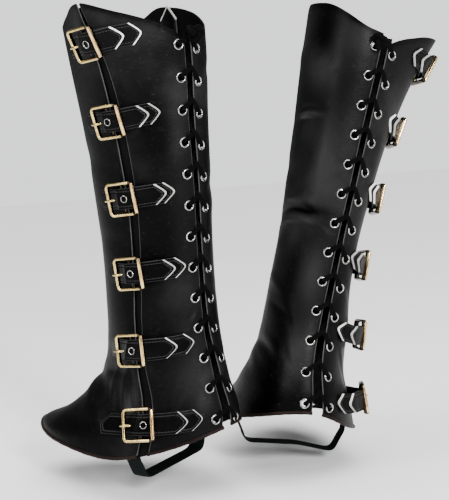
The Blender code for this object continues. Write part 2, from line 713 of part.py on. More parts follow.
def add_tab(chap, strap_leather):
    """A pointed pull tab sewn inside the inner top edge, its point just showing above it."""
    top = float(top_height(chap, TAB_TURN)) + TAB_ABOVE_EDGE

    def place(u, v):
        across = (u - 0.5) * TAB_WIDTH
        high = top - TAB_POINT * np.abs(2 * u - 1)
        height = (top - TAB_LENGTH) * (1 - v) + high * v
        turn = walk(TAB_TURN, top - TAB_LENGTH / 2, across)
        return on_leg(turn, height, np.full(turn.shape, -SET_IN - STRAP_THICKNESS))

    sheet(chap, "pull_tab", 4, 3, place, STRAP_THICKNESS, strap_leather)


def build_pair():
    clear_scene()
    pair, cutters = (bpy.data.collections.new(name) for name in ("half_chaps", "half_chaps_cutters"))
    for collection in (pair, cutters):
        bpy.context.scene.collection.children.link(collection)
    leather = leather_material("black_leather", (0.012, 0.012, 0.013), 0.42)
    strap_leather = leather_material("strap_leather", (0.010, 0.010, 0.010), 0.5)
    dark_binding = leather_material("dark_brown_binding", (0.018, 0.011, 0.009), 0.5)
    lace_black = leather_material("black_lace", (0.006, 0.006, 0.006), 0.85)
    brass = leather_material("pale_brass", (0.78, 0.62, 0.36), 0.25, 1.0)
    buckle = buckle_mesh()
    for chap in CHAPS:
        chap["collection"] = pair
        chap["cutters"] = cutters
        chap["buckle"] = buckle
        empty = bpy.data.objects.new(f"{chap['name']}_leg", None)
        pair.objects.link(empty)
        empty.location = (chap["place"][0] * MM, chap["place"][1] * MM, 0)
        empty.rotation_euler.z = math.radians(-chap["side"] * chap["toe_out"])
        chap["empty"] = empty
        add_panels(chap, leather)
        add_underlap(chap, leather)
        for number, values in enumerate(STRAPS, 1):
            add_strap(chap, number, values, strap_leather, brass)
        add_lace(chap, lace_black)
        add_bindings(chap, dark_binding)
        add_stirrup(chap, strap_leather)
        add_tab(chap, strap_leather)


build_pair()
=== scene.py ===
import math

import bpy
import numpy as np
from mathutils import Matrix


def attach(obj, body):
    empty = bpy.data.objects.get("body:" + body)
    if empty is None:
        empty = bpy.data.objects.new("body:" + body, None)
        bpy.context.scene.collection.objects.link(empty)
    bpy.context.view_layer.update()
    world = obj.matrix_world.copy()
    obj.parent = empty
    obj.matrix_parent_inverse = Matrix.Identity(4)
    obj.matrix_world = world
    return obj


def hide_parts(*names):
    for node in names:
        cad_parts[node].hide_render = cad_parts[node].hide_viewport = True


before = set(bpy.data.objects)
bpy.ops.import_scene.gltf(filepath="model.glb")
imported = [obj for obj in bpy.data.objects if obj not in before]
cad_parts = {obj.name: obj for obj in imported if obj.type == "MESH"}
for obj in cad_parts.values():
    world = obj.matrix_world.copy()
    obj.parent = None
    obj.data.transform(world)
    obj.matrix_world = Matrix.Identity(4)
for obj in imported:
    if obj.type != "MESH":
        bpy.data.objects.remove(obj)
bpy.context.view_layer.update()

# The two leather panels of each half chap: an outer panel from the buckled slit to the lacing at the
# back, and a wrap panel from the slit round the shin, instep and inner side to the lacing. They are
# cut from one soft black hide, their edges left raw, and worn in round the calf and ankle.
MM = 0.001
HOLD_HEIGHT = 240.0  # the origin's height on the scale that all heights here are counted on
LEATHER = 1.6
RAW_RIM = 1.2 * MM

RING_COLUMNS = ("height", "front", "back", "half_breadth", "widest_at", "flare")
# Millimetres from the leg's middle line at each height: the front, the back, half the breadth, how
# far ahead the ring is broadest, and how far it bells out round the slit.
RINGS = np.array(
    (
        (35, 184, 66, 65, 40, 8),
        (50, 178, 67, 62, 35, 6),
        (62, 147, 67, 58.5, 30, 5),
        (75, 125, 67, 55, 26, 4),
        (100, 97, 61, 46, 18, 5),
        (125, 80, 57, 43, 10, 5),
        (150, 74, 53.5, 43.5, 3, 2),
        (190, 70, 53.5, 43.5, 0, -4.5),
        (240, 66.5, 56.5, 43.5, 0, -6.5),
        (300, 67, 62, 46.5, 0, -4.5),
        (360, 69.5, 66, 49.5, 0, 1.5),
        (420, 76, 72, 53, 0, 12),
        (470, 81, 73, 54.5, 0, 28.5),
        (510, 85, 74, 55, 0, 44),
    ),
    float,
)
FLARE_TURN = 100.0
FLARE_SPREAD = 32.0
SHIN_POINT = 1.18  # over 1 draws the front of a ring to a soft point
CALF_BREADTH = 0.89  # under 1 flattens the back of a ring
ANKLE_HEIGHT = 110.0
HEM_SHARE = (0.57, 0.3)  # how much of the lean outwards and forwards the foot end takes
LEAN_STARTS = 70.0
LEAN_WHOLE_AFTER = 80.0
SLIP_REACH = 55.0
SLIP_GROWS = (60.0, 0.0012)  # from this height up, and by how much of itself for each millimetre
# Where each chap stands, how far its toe turns out in degrees, how it leans outwards and forwards in
# radians, how much lower each flap's eyelets sit, how far its outer side has slipped down, how much its
# top edge rises, and the reach and drop of its rounded top corner.
CHAPS = (
    dict(name="left", side=-1, place=(-68.0, 15.0), toe_out=24.0, lean=(0.069, 0.011),
         eyelet_drop=(0.0, 5.0), outer_slip=0.0, back_rise=0.0, outer_rise=0.0,
         corner=(1.0, 1.0)),
    dict(name="right", side=1, place=(68.0, -15.0), toe_out=24.0, lean=(0.249, 0.057),
         eyelet_drop=(2.0, 0.0), outer_slip=6.5, back_rise=11.0, outer_rise=4.0,
         corner=(27.0, 15.0)),
)
HEM_WAVES = (42.0, -13.0, 7.0)  # mean height, front to back wave, sides to ends wave
TOE_RISE = 12.0
TOE_TURN = 12.0
TOE_SPREAD = 42.0
VAMP_RISE = 5.0
VAMP_TURN = 66.0
VAMP_SPREAD = 24.0
# The top edge's height at each turn: 0 is the toe, 90 the outer side, 180 the back, 270 the inner side.
TOP_EDGE = (
    (0, 455), (40, 461), (65, 468), (92, 475), (120, 463), (150, 448), (180, 442),
    (210, 448), (240, 463), (262, 470.5), (276, 472), (292, 461), (320, 456),
)
BACK_RISE_TURN = 215.0
BACK_RISE_SPREAD = 32.0
OUTER_RISE_TURN = 128.0
OUTER_RISE_SPREAD = 20.0
OUTER_CORNER_DIP = 12.0  # the outer flap's top corner at the lacing is lower than the inner one
CORNER_REACH = 28.0
LACING_TURN = ((60, 173.5), (460, 167.5))
SLIT_TURN = (
    (40, 113.0), (75, 110.0), (100, 104.0), (130, 94.0), (165, 87.0), (200, 87.0),
    (240, 90.0), (280, 94.0), (330, 96.0), (430, 96.0), (490, 91.5),
)
LACING_HALF_GAP = ((60, 6.0), (130, 4.2), (460, 3.9))
SLIT_HALF_GAP = ((50, 5.5), (110, 5.0), (160, 4.25), (420, 4.25), (480, 1.5))
OUTER_FLAP_BREADTH = 72.0
WRAP_BREADTH = 250.0
EYELET_ROWS = 13
TOP_EYELET_HEIGHT = 430.0
EYELET_PITCH = 30.0
EYELET_FROM_CENTRE = ((70, 14.0), (130, 11.5), (250, 10.5), (430, 10.5))
HOLE_CLEARED = 4.1  # cells of a panel this near an eyelet's middle are left out, under its rim


def along(table, at):
    """A smooth curve through a table's rows: cubic pieces whose slopes are those between the neighbours."""
    rows = np.asarray(table, float)
    known, values = rows[:, 0], rows[:, 1]
    at = np.clip(np.asarray(at, float), known[0], known[-1])
    slopes = np.gradient(values, known)
    index = np.clip(np.searchsorted(known, at) - 1, 0, len(known) - 2)
    step = known[index + 1] - known[index]
    t = (at - known[index]) / step
    return (
        (2 * t**3 - 3 * t**2 + 1) * values[index]
        + (t**3 - 2 * t**2 + t) * step * slopes[index]
        + (3 * t**2 - 2 * t**3) * values[index + 1]
        + (t**3 - t**2) * step * slopes[index + 1]
    )


def ring(column, height):
    """One measure of the rings at a height."""
    return along(RINGS[:, [0, RING_COLUMNS.index(column)]], height)


def bell_round(turn, middle, spread):
    """A bell round the leg: 1 at its middle turn, less by the square of the way from it."""
    away = (np.asarray(turn, float) - middle + 180) % 360 - 180
    return np.exp(-((away / spread) ** 2))


def smooth(share):
    """A share that starts and ends gently: three of its squares less two of its cubes, kept in 0 to 1."""
    share = np.clip(share, 0, 1)
    return share * share * (3 - 2 * share)


def on_ring(turn, height, drawn_in=1.0):
    """Outwards, forwards and up, from two half ellipses that meet where the ring is widest.

    The power of the sine points the shin or flattens the calf, and the flare adds a bell of breadth
    round the slit.
    """
    turn, height = np.broadcast_arrays(np.asarray(turn, float), np.asarray(height, float))
    sine, cosine = np.sin(np.radians(turn)), np.cos(np.radians(turn))
    widest = ring("widest_at", height)
    ahead = np.where(cosine > 0, ring("front", height) - widest, ring("back", height) + widest)
    power = np.where(cosine > 0, SHIN_POINT, CALF_BREADTH)
    across = ring("half_breadth", height) * np.sign(sine) * np.abs(sine) ** power
    flare = ring("flare", height)
    bell = bell_round(turn, FLARE_TURN, FLARE_SPREAD)
    across = across + np.where(flare > 0, flare, flare * drawn_in) * bell
    return np.stack([across, widest + ahead * cosine, height], axis=-1)


def on_leg(turn, height, out=0.0, drawn_in=1.0):
    """A point of the ring moved along its normal. out is counted from the leather's inner face."""
    small_turn, small_rise = 0.6, 0.5
    round_leg = on_ring(turn + small_turn, height, drawn_in) - on_ring(turn - small_turn, height, drawn_in)
    up_leg = on_ring(turn, height + small_rise, drawn_in) - on_ring(turn, height - small_rise, drawn_in)
    normal = np.cross(up_leg, round_leg)
    normal /= np.linalg.norm(normal, axis=-1, keepdims=True)
    return on_ring(turn, height, drawn_in) + normal * (np.asarray(out, float) - LEATHER)[..., None]


def stand_up(chap, points):
    """Leans a chap's points outwards and forwards about its ankle, turns its toe out, and puts it in place.

    The foot end takes a share of the lean and the shin all of it, with a smooth step between. The
    result is in the frame's metres.
    """
    across, ahead, height = np.moveaxis(np.asarray(points, float), -1, 0)
    grown_from, growth = SLIP_GROWS
    slip = chap["outer_slip"] * (1 + growth * np.clip(height - grown_from, 0, None))
    height = height - slip * smooth(across / SLIP_REACH)
    rise = smooth((height - LEAN_STARTS) / LEAN_WHOLE_AFTER)
    lean_out, lean_ahead = (
        lean * (share + (1 - share) * rise) for lean, share in zip(chap["lean"], HEM_SHARE)
    )
    above = height - ANKLE_HEIGHT
    x = (across * np.cos(lean_out) + above * np.sin(lean_out)) * chap["side"]
    y = ahead * np.cos(lean_ahead) + above * np.sin(lean_ahead)
    z = (ANKLE_HEIGHT - HOLD_HEIGHT + above * np.cos(lean_out) * np.cos(lean_ahead)
         - across * np.sin(lean_out) - ahead * np.sin(lean_ahead))
    angle = math.radians(-chap["side"] * chap["toe_out"])
    cosine, sine = math.cos(angle), math.sin(angle)
    turned = [x * cosine - y * sine + chap["place"][0], x * sine + y * cosine + chap["place"][1], z]
    return np.stack(turned, axis=-1) * MM


def walk(turn, height, distance):
    """The turn reached from another by going a distance round the leg at one height."""
    turns = turn + np.arange(-110.0, 110.5, 1.0)
    steps = np.linalg.norm(np.diff(on_ring(turns, height), axis=0), axis=1)
    gone = np.concatenate([[0.0], np.cumsum(steps)])
    gone -= np.interp(turn, turns, gone)
    return np.interp(distance, gone, turns)


def walk_each(table, heights, distances):
    """The turns reached from a line on the leg, at each height by its own distance."""
    starts = along(table, heights)
    distances = np.broadcast_to(distances, heights.shape)
    return np.array([walk(*row) for row in zip(starts, heights, distances)])


def edge(table, distances):
    """An edge a given distance round from a line on the leg, as a function of height."""
    heights = np.linspace(35, 500, 24)
    reach = along(distances, heights) if isinstance(distances, tuple) else np.full(24, float(distances))
    turns = walk_each(table, heights, reach)
    return lambda height: np.interp(height, heights, turns)


def mirrored(table):
    """The same distances to the other side."""
    return tuple((height, -value) for height, value in table)


def hem_height(turn):
    """The hem: two cosines round the leg, a rise over the toe and one over the outer side of the vamp."""
    angle = np.radians(turn)
    mean, front_to_back, sides_to_ends = HEM_WAVES
    even = mean + front_to_back * np.cos(angle) + sides_to_ends * np.cos(2 * angle)
    over_toe = TOE_RISE * bell_round(turn, TOE_TURN, TOE_SPREAD)
    return even + over_toe + VAMP_RISE * bell_round(turn, VAMP_TURN, VAMP_SPREAD)


def top_height(chap, turn, outer_flap):
    """The top edge: a curve through its table, with the chap's rises and the outer flap's lower corner."""
    rows = np.array(TOP_EDGE, float)
    once_round = np.array((360.0, 0.0))
    round_leg = np.asarray(turn, float) % 360
    height = along(np.vstack([rows - once_round, rows, rows + once_round]), round_leg)
    height = height + chap["back_rise"] * bell_round(turn, BACK_RISE_TURN, BACK_RISE_SPREAD)
    height = height + chap["outer_rise"] * bell_round(turn, OUTER_RISE_TURN, OUTER_RISE_SPREAD)
    from_corner = (along(LACING_TURN, 460) - np.asarray(turn, float)) / CORNER_REACH
    return height - OUTER_CORNER_DIP * outer_flap * np.clip(1 - from_corner, 0, 1) ** 2


def laid_between(chap, start, end, outer_flap, u, v, lowest=0.0, highest=0.0):
    """Turn and height of a grid: u runs from one edge to the other, v from the hem to the top edge."""
    rough = 60 + 400 * v
    for _ in range(4):
        turn = start(rough) + (end(rough) - start(rough)) * u
        rough = (hem_height(turn) + lowest) * (1 - v) + (top_height(chap, turn, outer_flap) - highest) * v
    return turn, rough


def unit_grid(columns, rows):
    """Two grids of shares, across and up."""
    return np.meshgrid(np.linspace(0, 1, columns + 1), np.linspace(0, 1, rows + 1))


def new_mesh(name, points, faces, **rulers):
    """A mesh from an array of points and one of four-cornered faces, shaded smooth but for its sharp edges.

    Each ruler is a map with two numbers for each point.
    """
    mesh = bpy.data.meshes.new(name)
    points, faces = np.asarray(points, np.float32), np.asarray(faces, np.int32)
    mesh.vertices.add(len(points))
    mesh.vertices.foreach_set("co", points.ravel())
    mesh.loops.add(faces.size)
    mesh.loops.foreach_set("vertex_index", faces.ravel())
    mesh.polygons.add(len(faces))
    mesh.polygons.foreach_set("loop_start", np.arange(0, faces.size, 4, dtype=np.int32))
    for label, ruler in rulers.items():
        layer = mesh.uv_layers.new(name=label)
        layer.data.foreach_set("uv", np.asarray(ruler, np.float32)[faces.ravel()].ravel())
    mesh.update(calc_edges=True)
    mesh.shade_smooth()
    mesh.set_sharp_from_angle(angle=math.radians(48))
    return mesh


def shell(name, outer, inner, keep=None, **rulers):
    """A closed wall between two grids of points, rimmed at its ends and round each cell that is left out."""
    rows, columns = outer.shape[:2]
    keep = np.ones((rows - 1, columns - 1), bool) if keep is None else keep
    index = np.arange(rows * columns).reshape(rows, columns)
    corners = np.stack([index[:-1, :-1], index[:-1, 1:], index[1:, 1:], index[1:, :-1]], axis=-1)
    behind = rows * columns
    faces = [corners[keep], corners[keep][:, ::-1] + behind]
    framed = np.pad(keep, 1)
    neighbours = (framed[:-2, 1:-1], framed[1:-1, 2:], framed[2:, 1:-1], framed[1:-1, :-2])
    for side, neighbour in enumerate(neighbours):
        rim = corners[keep & ~neighbour]
        first, second = rim[:, side], rim[:, (side + 1) % 4]
        faces.append(np.stack([second, first, first + behind, second + behind], axis=-1))
    faces = np.concatenate(faces)
    a, b, d = (outer.reshape(-1, 3)[corners[..., k].ravel()] for k in (0, 1, 3))
    outwards = (outer - inner).reshape(-1, 3)[corners[..., 0].ravel()]
    if (np.cross(b - a, d - a) * outwards).sum() < 0:
        faces = faces[:, ::-1]
    points = np.concatenate([outer.reshape(-1, 3), inner.reshape(-1, 3)])
    rulers = {label: np.tile(ruler.reshape(-1, 2), (2, 1)) for label, ruler in rulers.items()}
    mesh = new_mesh(name, points, faces, **rulers)
    flesh_side = np.zeros(len(faces), np.int32)
    flesh_side[keep.sum() : 2 * keep.sum()] = 1
    mesh.polygons.foreach_set("material_index", flesh_side)
    return mesh


def seam_ruler(points):
    """For each point of a grid: how far along its nearest edge it is and how far from it, in metres."""
    steps = np.linalg.norm(np.diff(points, axis=1), axis=2)
    across = np.concatenate([np.zeros((len(points), 1)), np.cumsum(steps, axis=1)], axis=1)
    steps = np.linalg.norm(np.diff(points, axis=0), axis=2)
    up = np.concatenate([np.zeros((1, points.shape[1])), np.cumsum(steps, axis=0)], axis=0)
    sides = np.stack([across, across[:, -1:] - across, up, up[-1:] - up])
    nearest = sides.argmin(axis=0)
    return np.stack([np.where(nearest < 2, up, across), sides.min(axis=0)], axis=-1)


def across_edges(points):
    """How far each point of a grid is from the nearer of its two upright edges."""
    steps = np.linalg.norm(np.diff(points, axis=1), axis=2)
    across = np.concatenate([np.zeros((len(points), 1)), np.cumsum(steps, axis=1)], axis=1)
    return np.minimum(across, across[:, -1:] - across)


def add_piece(name, mesh, materials, slot, *nodes):
    """The finished piece, which stands for the named solids."""
    for material in materials if isinstance(materials, tuple) else (materials,):
        mesh.materials.append(material)
    piece = bpy.data.objects.new(name, mesh)
    bpy.context.scene.collection.objects.link(piece)
    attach(piece, "root")
    if nodes:
        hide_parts(*nodes)
    return piece


def put(tree, kind, inputs=None, **settings):
    """A node with its settings and its inputs, each a value or another node's output."""
    node = tree.nodes.new(kind)
    for key, value in settings.items():
        setattr(node, key, value)
    for socket, value in (inputs or {}).items():
        if isinstance(value, bpy.types.NodeSocket):
            tree.links.new(value, node.inputs[socket])
        else:
            node.inputs[socket].default_value = value
    return node


def sums(tree, operation, first, second=0.0, third=0.0):
    """The result of one sum on values or outputs."""
    return put(tree, "ShaderNodeMath", {0: first, 1: second, 2: third}, operation=operation).outputs[0]


def between(tree, value, low, high, to_low=0.0, to_high=1.0):
    """The value's place between two limits, smoothed, carried over to another span."""
    ends = {"Value": value, "From Min": low, "From Max": high, "To Min": to_low, "To Max": to_high}
    return put(tree, "ShaderNodeMapRange", ends, interpolation_type="SMOOTHSTEP").outputs[0]


def blended(tree, share, first, second):
    """The first colour, and the second by its share."""
    mix = put(tree, "ShaderNodeMix", {"Factor": share}, data_type="RGBA")
    for socket, value in ((mix.inputs["A"], first), (mix.inputs["B"], second)):
        if isinstance(value, bpy.types.NodeSocket):
            tree.links.new(value, socket)
        else:
            socket.default_value = (*value, 1)
    return mix.outputs["Result"]


def group(name, inputs, outputs):
    """An empty node group with number inputs and its outputs, and the two nodes at its ends."""
    tree = bpy.data.node_groups.new(name, "ShaderNodeTree")
    for label, value in inputs.items():
        socket = tree.interface.new_socket(label, in_out="INPUT", socket_type="NodeSocketFloat")
        socket.default_value = value
    for label in outputs:
        tree.interface.new_socket(label, in_out="OUTPUT", socket_type="NodeSocketFloat")
    return tree, tree.nodes.new("NodeGroupInput").outputs, tree.nodes.new("NodeGroupOutput").inputs


def hide_grain():
    """Leather seen close: pebbled grain, soft wrinkles that cross it, and slow patches of wear."""
    tree, given, out = group("hide_grain", {"Grain": 1.0, "Wrinkles": 1.0}, ("Height", "Patches", "Scuffs"))
    place = put(tree, "ShaderNodeTexCoord").outputs["Object"]
    pebbles = put(tree, "ShaderNodeTexVoronoi", {"Vector": place, "Scale": 900.0}, feature="SMOOTH_F1")
    stretched = put(tree, "ShaderNodeMapping", {"Vector": place, "Scale": (1.0, 1.0, 1.9)}).outputs[0]
    wrinkles = put(tree, "ShaderNodeTexNoise", {
        "Vector": stretched, "Scale": 46.0, "Detail": 5.0, "Roughness": 0.62, "Distortion": 0.7,
    })
    creased = sums(tree, "ABSOLUTE", sums(tree, "SUBTRACT", wrinkles.outputs[0], 0.5))
    creased = sums(tree, "POWER", sums(tree, "MULTIPLY", creased, 2.0), 0.6)
    patches = put(tree, "ShaderNodeTexNoise", {
        "Vector": place, "Scale": 13.0, "Detail": 3.0, "Roughness": 0.55,
    })
    fine = put(tree, "ShaderNodeTexNoise", {
        "Vector": stretched, "Scale": 210.0, "Detail": 4.0, "Roughness": 0.7,
    })
    grain = sums(tree, "MULTIPLY", pebbles.outputs["Distance"], given["Grain"])
    folds = sums(tree, "MULTIPLY", creased, given["Wrinkles"])
    tree.links.new(sums(tree, "MULTIPLY_ADD", grain, 0.12, folds), out["Height"])
    tree.links.new(between(tree, patches.outputs[0], 0.43, 0.72), out["Patches"])
    scuffs = sums(tree, "MULTIPLY", between(tree, fine.outputs[0], 0.56, 0.78), patches.outputs[0])
    tree.links.new(scuffs, out["Scuffs"])
    return tree


def seam_marks():
    """From the seam ruler: a row of stitches at a distance from the edge, and the raw edge's pale rim."""
    tree, given, out = group("seam_marks", {"From edge": 2.6, "Stitch": 3.0, "Rim": 0.7},
                             ("Thread", "Rim", "Groove"))
    ruler = put(tree, "ShaderNodeUVMap", uv_map="seam").outputs[0]
    run, distance, _ = put(tree, "ShaderNodeSeparateXYZ", {0: ruler}).outputs
    run, distance = sums(tree, "MULTIPLY", run, 1000.0), sums(tree, "MULTIPLY", distance, 1000.0)
    off_line = sums(tree, "ABSOLUTE", sums(tree, "SUBTRACT", distance, given["From edge"]))
    gap = sums(tree, "FRACT", sums(tree, "DIVIDE", run, given["Stitch"]))
    gap = sums(tree, "ABSOLUTE", sums(tree, "SUBTRACT", gap, 0.5))
    thread = sums(tree, "MULTIPLY", between(tree, off_line, 0.5, 0.22), between(tree, gap, 0.42, 0.34))
    tree.links.new(thread, out["Thread"])
    tree.links.new(between(tree, distance, given["Rim"], 0.0), out["Rim"])
    tree.links.new(between(tree, off_line, 1.2, 0.2), out["Groove"])
    return tree


GRAIN = hide_grain()
SEAM = seam_marks()


def leather(name, dark, worn_and_sheen, roughness, grain, wrinkles, seam, thread, rim,
            cut_points=None, shine=0.042, placed_wear=False):
    """Black leather: two near-black tones by patches of wear, stitches and raw edges from the seam ruler.

    The roughness is that of dark and of lighter hide. The cut points are the shade and breadth of a strap's
    raw ends, and the painted light map adds the panel's own painted sheen and shade to the slow patches.
    """
    material = bpy.data.materials.new(name)
    material.use_nodes = True
    tree = material.node_tree
    shader = tree.nodes["Principled BSDF"]
    hide = put(tree, "ShaderNodeGroup", {}, node_tree=GRAIN)
    hide.inputs["Grain"].default_value = grain
    hide.inputs["Wrinkles"].default_value = wrinkles
    marks = put(tree, "ShaderNodeGroup", {}, node_tree=SEAM)
    for label, value in seam.items():
        marks.inputs[label].default_value = value
    patches = hide.outputs["Patches"]
    # The panel's painted sheen and shade is added to the slow patches.
    if placed_wear:
        ruler = put(tree, "ShaderNodeUVMap", uv_map="wear").outputs[0]
        sheen_and_shade, _, _ = put(tree, "ShaderNodeSeparateXYZ", {0: ruler}).outputs
        patches = sums(tree, "MULTIPLY_ADD", patches, 0.55, sheen_and_shade)
        patches = between(tree, patches, -0.35, 1.25)
    colour = blended(tree, patches, dark, worn_and_sheen)
    colour = blended(tree, sums(tree, "MULTIPLY", hide.outputs["Scuffs"], 0.35), colour, rim)
    colour = blended(tree, marks.outputs["Rim"], colour, rim)
    if thread:
        colour = blended(tree, marks.outputs["Thread"], colour, thread)
    if cut_points:
        ruler = put(tree, "ShaderNodeUVMap", uv_map="cut").outputs[0]
        from_tip, from_base, _ = put(tree, "ShaderNodeSeparateXYZ", {0: ruler}).outputs
        for distance, (shade, width) in zip((from_tip, from_base), cut_points):
            share = between(tree, distance, width * 1.2 * MM, width * 0.7 * MM)
            uneven = between(tree, hide.outputs["Patches"], 0.0, 0.6, 0.35, 1.0)
            share = sums(tree, "MULTIPLY", share, uneven)
            colour = blended(tree, share, colour, shade)
    tree.links.new(colour, shader.inputs["Base Color"])
    rough = between(tree, patches, 0.0, 1.0, roughness[0], roughness[1])
    rough = sums(tree, "MULTIPLY_ADD", hide.outputs["Scuffs"], 0.25, rough)
    tree.links.new(sums(tree, "MULTIPLY_ADD", marks.outputs["Rim"], 0.3, rough), shader.inputs["Roughness"])
    height = hide.outputs["Height"]
    if thread:
        height = sums(tree, "MULTIPLY_ADD", marks.outputs["Groove"], -1.2, height)
        height = sums(tree, "MULTIPLY_ADD", marks.outputs["Thread"], 1.6, height)
    bump = put(tree, "ShaderNodeBump", {"Height": height, "Strength": 0.55, "Distance": 0.0005})
    tree.links.new(bump.outputs[0], shader.inputs["Normal"])
    shader.inputs["Specular IOR Level"].default_value = shine
    return material


# The panels' leather takes the painted sheen and shade from each panel's map.
PANEL_LEATHER = leather(
    "panel_leather", (0.0001, 0.0001, 0.0001), (0.017, 0.017, 0.0173), (0.42, 0.3), 0.5, 0.8,
    {"From edge": 3.2, "Stitch": 2.6, "Rim": 1.1}, None, (0.055, 0.055, 0.057), placed_wear=True,
)

FLESH_SIDE = leather(
    "flesh_side", (0.001, 0.001, 0.001), (0.0022, 0.0021, 0.002), (0.8, 0.9), 1.0, 0.3,
    {"From edge": 3.0, "Stitch": 2.6, "Rim": 0.3}, None, (0.004, 0.004, 0.004),
)

FOLD_COLUMNS = ("turn", "height", "tilt", "half_length", "half_width", "depth")
# Troughs (below 0) and ridges of each chap: where, how far the fold's line tilts up towards the back,
# how long and wide it is, and how deep.
FOLDS = {
    "left": (
        (150, 400, 35, 26, 8, 0.9), (141, 372, 20, 30, 7, -0.8), (160, 180, 32, 22, 3.5, -1.1),
        (158, 170, 35, 18, 4, 0.9), (146, 195, 28, 26, 5, 0.6), (96, 97, 104, 24, 2.4, 1.1),
        (90, 98, 106, 26, 2.6, -1.2), (84, 99, 108, 26, 2.8, 1.2), (77, 97, 110, 22, 3, -1.1),
        (70, 100, 112, 22, 3.2, 0.9), (124, 98, 80, 22, 3, 0.7), (134, 90, 70, 20, 3.5, -0.7),
        (60, 118, 8, 30, 7, -1.6), (30, 106, -5, 34, 8, -1.8), (10, 96, -8, 36, 7, 1.5),
        (70, 250, -10, 34, 9, -0.8), (20, 330, 12, 40, 12, -1.1), (225, 300, 5, 40, 8, -1.3),
        (232, 284, 8, 34, 7, 1.0), (250, 190, -12, 30, 7, -1.2), (268, 120, 14, 34, 7, -1.5),
        (300, 104, 6, 36, 8, 1.4), (330, 112, 4, 36, 6, -1.4), (200, 120, 50, 20, 4, -0.9),
        (290, 390, -18, 36, 10, 0.9), (205, 405, 14, 26, 7, -0.8), (118, 300, 60, 30, 6, 0.5),
        (105, 145, 70, 26, 4, 0.7), (150, 110, 55, 20, 4, -0.7), (140, 330, -15, 28, 8, 0.5),
    ),
    "right": (
        (238, 259, 0, 32, 4.6, -3.0), (236, 249, -2, 34, 4.2, 1.6), (240, 270, 2, 28, 4.6, 1.4),
        (243, 355, -2, 18, 2.6, 2.2), (240, 362, 0, 24, 4.4, -1.5), (238, 418, 16, 26, 7, -0.9),
        (214, 402, -14, 22, 6, 0.8), (252, 350, 10, 26, 7, -0.8), (232, 232, 8, 30, 6, -0.9),
        (246, 178, 24, 30, 7, 1.1), (226, 150, 30, 26, 5, -1.2), (212, 112, 45, 22, 4.5, -1.1),
        (255, 116, 12, 32, 6, -1.5), (290, 104, 5, 36, 7, 1.4), (330, 112, -4, 36, 6, -1.5),
        (10, 100, 6, 36, 8, -1.7), (40, 118, 8, 30, 7, -1.4), (120, 96, 70, 22, 3.5, -1.1),
        (128, 120, 62, 22, 4, 0.9), (140, 190, 30, 24, 5, -0.9), (150, 380, 34, 24, 7, 0.8),
        (70, 270, -12, 34, 9, -0.8), (20, 340, 10, 40, 12, -1.1), (300, 300, -14, 40, 9, -1.0),
        (150, 300, -18, 26, 6, -0.7), (280, 420, 10, 34, 9, 0.8),
    ),
}
PAINTED_SHEEN_AND_SHADE_COLUMNS = ("turn", "height", "half_round", "half_height", "strength")
# Painted sheen (above 0) and painted shade (below 0) laid into the panels' colour, each a bell round the leg
# and up it.
PAINTED_SHEEN_AND_SHADE = {
    "left": (
        (128, 415, 22, 26, -0.35), (153, 388, 11, 22, 0.6), (152, 345, 10, 22, 0.4),
        (128, 352, 14, 22, -0.5), (135, 197, 22, 18, 0.35), (145, 112, 18, 24, 0.45),
        (120, 250, 16, 30, -0.3), (60, 300, 40, 140, -0.7), (50, 100, 40, 60, -0.5),
        (20, 350, 26, 40, 0.4), (330, 250, 30, 40, 0.5), (300, 150, 26, 30, 0.4),
        (235, 380, 24, 40, 0.5), (240, 220, 20, 36, 0.4), (270, 300, 26, 40, -0.4), (94, 97, 5, 20, 0.5),
    ),
    "right": (
        (206, 312, 18, 44, 0.85), (238, 340, 14, 20, 0.6), (236, 232, 14, 20, 0.6), (194, 436, 18, 22, 0.55),
        (242, 355, 15, 2.6, 1.3), (240, 268, 16, 3, 0.7), (230, 248, 18, 3, 0.8), (226, 259, 30, 5, -1.0),
        (230, 398, 18, 20, 0.9), (197, 195, 13, 30, 0.8), (196, 121, 13, 26, 0.7), (256, 80, 34, 40, -0.8),
        (205, 58, 40, 20, -0.8), (138, 56, 34, 26, -1.0),
        (232, 442, 12, 26, -0.4), (20, 330, 26, 40, 0.4), (60, 220, 30, 40, 0.4),
        (130, 300, 30, 60, -0.2), (320, 380, 24, 40, 0.5), (310, 180, 26, 36, 0.4), (150, 130, 24, 50, -0.4),
    ),
}
DARK_TOP = (0.8, 4.0)  # a darker band along the top edge: how much darker, and how wide
EDGE_ROUNDING = (0.45, 1.6)  # how far a raw edge is worn down on both faces, and over what breadth
CORNER_KEEPS_TO_TOP = 8  # the power of the height's share that a rounded top corner fades with
BILLOW = 0.2  # how far the worn leather stands off an even round, in long slow waves
MILLIMETRES_PER_DEGREE = 0.95  # round the calf
FOLD_BEND = 160.0  # a fold's line bows by the square of the way along it over this
STILL_EDGE = 1.5
STILL_FADES = 11.0


def folded(chap, turn, height):
    """The height of all folds at a point: each is a bell along its line times a narrower one across it."""
    total = BILLOW * (
        0.6 * np.sin(np.radians(3 * turn) + height / 47 + chap["side"])
        + 0.5 * np.sin(np.radians(5 * turn + 40) - height / 31)
        + 0.5 * np.sin(height / 17 + np.radians(2 * turn) * chap["side"])
    )
    for row in FOLDS[chap["name"]]:
        fold = dict(zip(FOLD_COLUMNS, row))
        x = ((turn - fold["turn"] + 180) % 360 - 180) * MILLIMETRES_PER_DEGREE
        y = height - fold["height"]
        tilt = math.radians(fold["tilt"])
        lengthways = x * math.cos(tilt) + y * math.sin(tilt)
        crosswise = y * math.cos(tilt) - x * math.sin(tilt)
        crosswise = crosswise + lengthways**2 / FOLD_BEND
        total = total + fold["depth"] * np.exp(
            -((lengthways / fold["half_length"]) ** 2) - (crosswise / fold["half_width"]) ** 2
        )
    return total


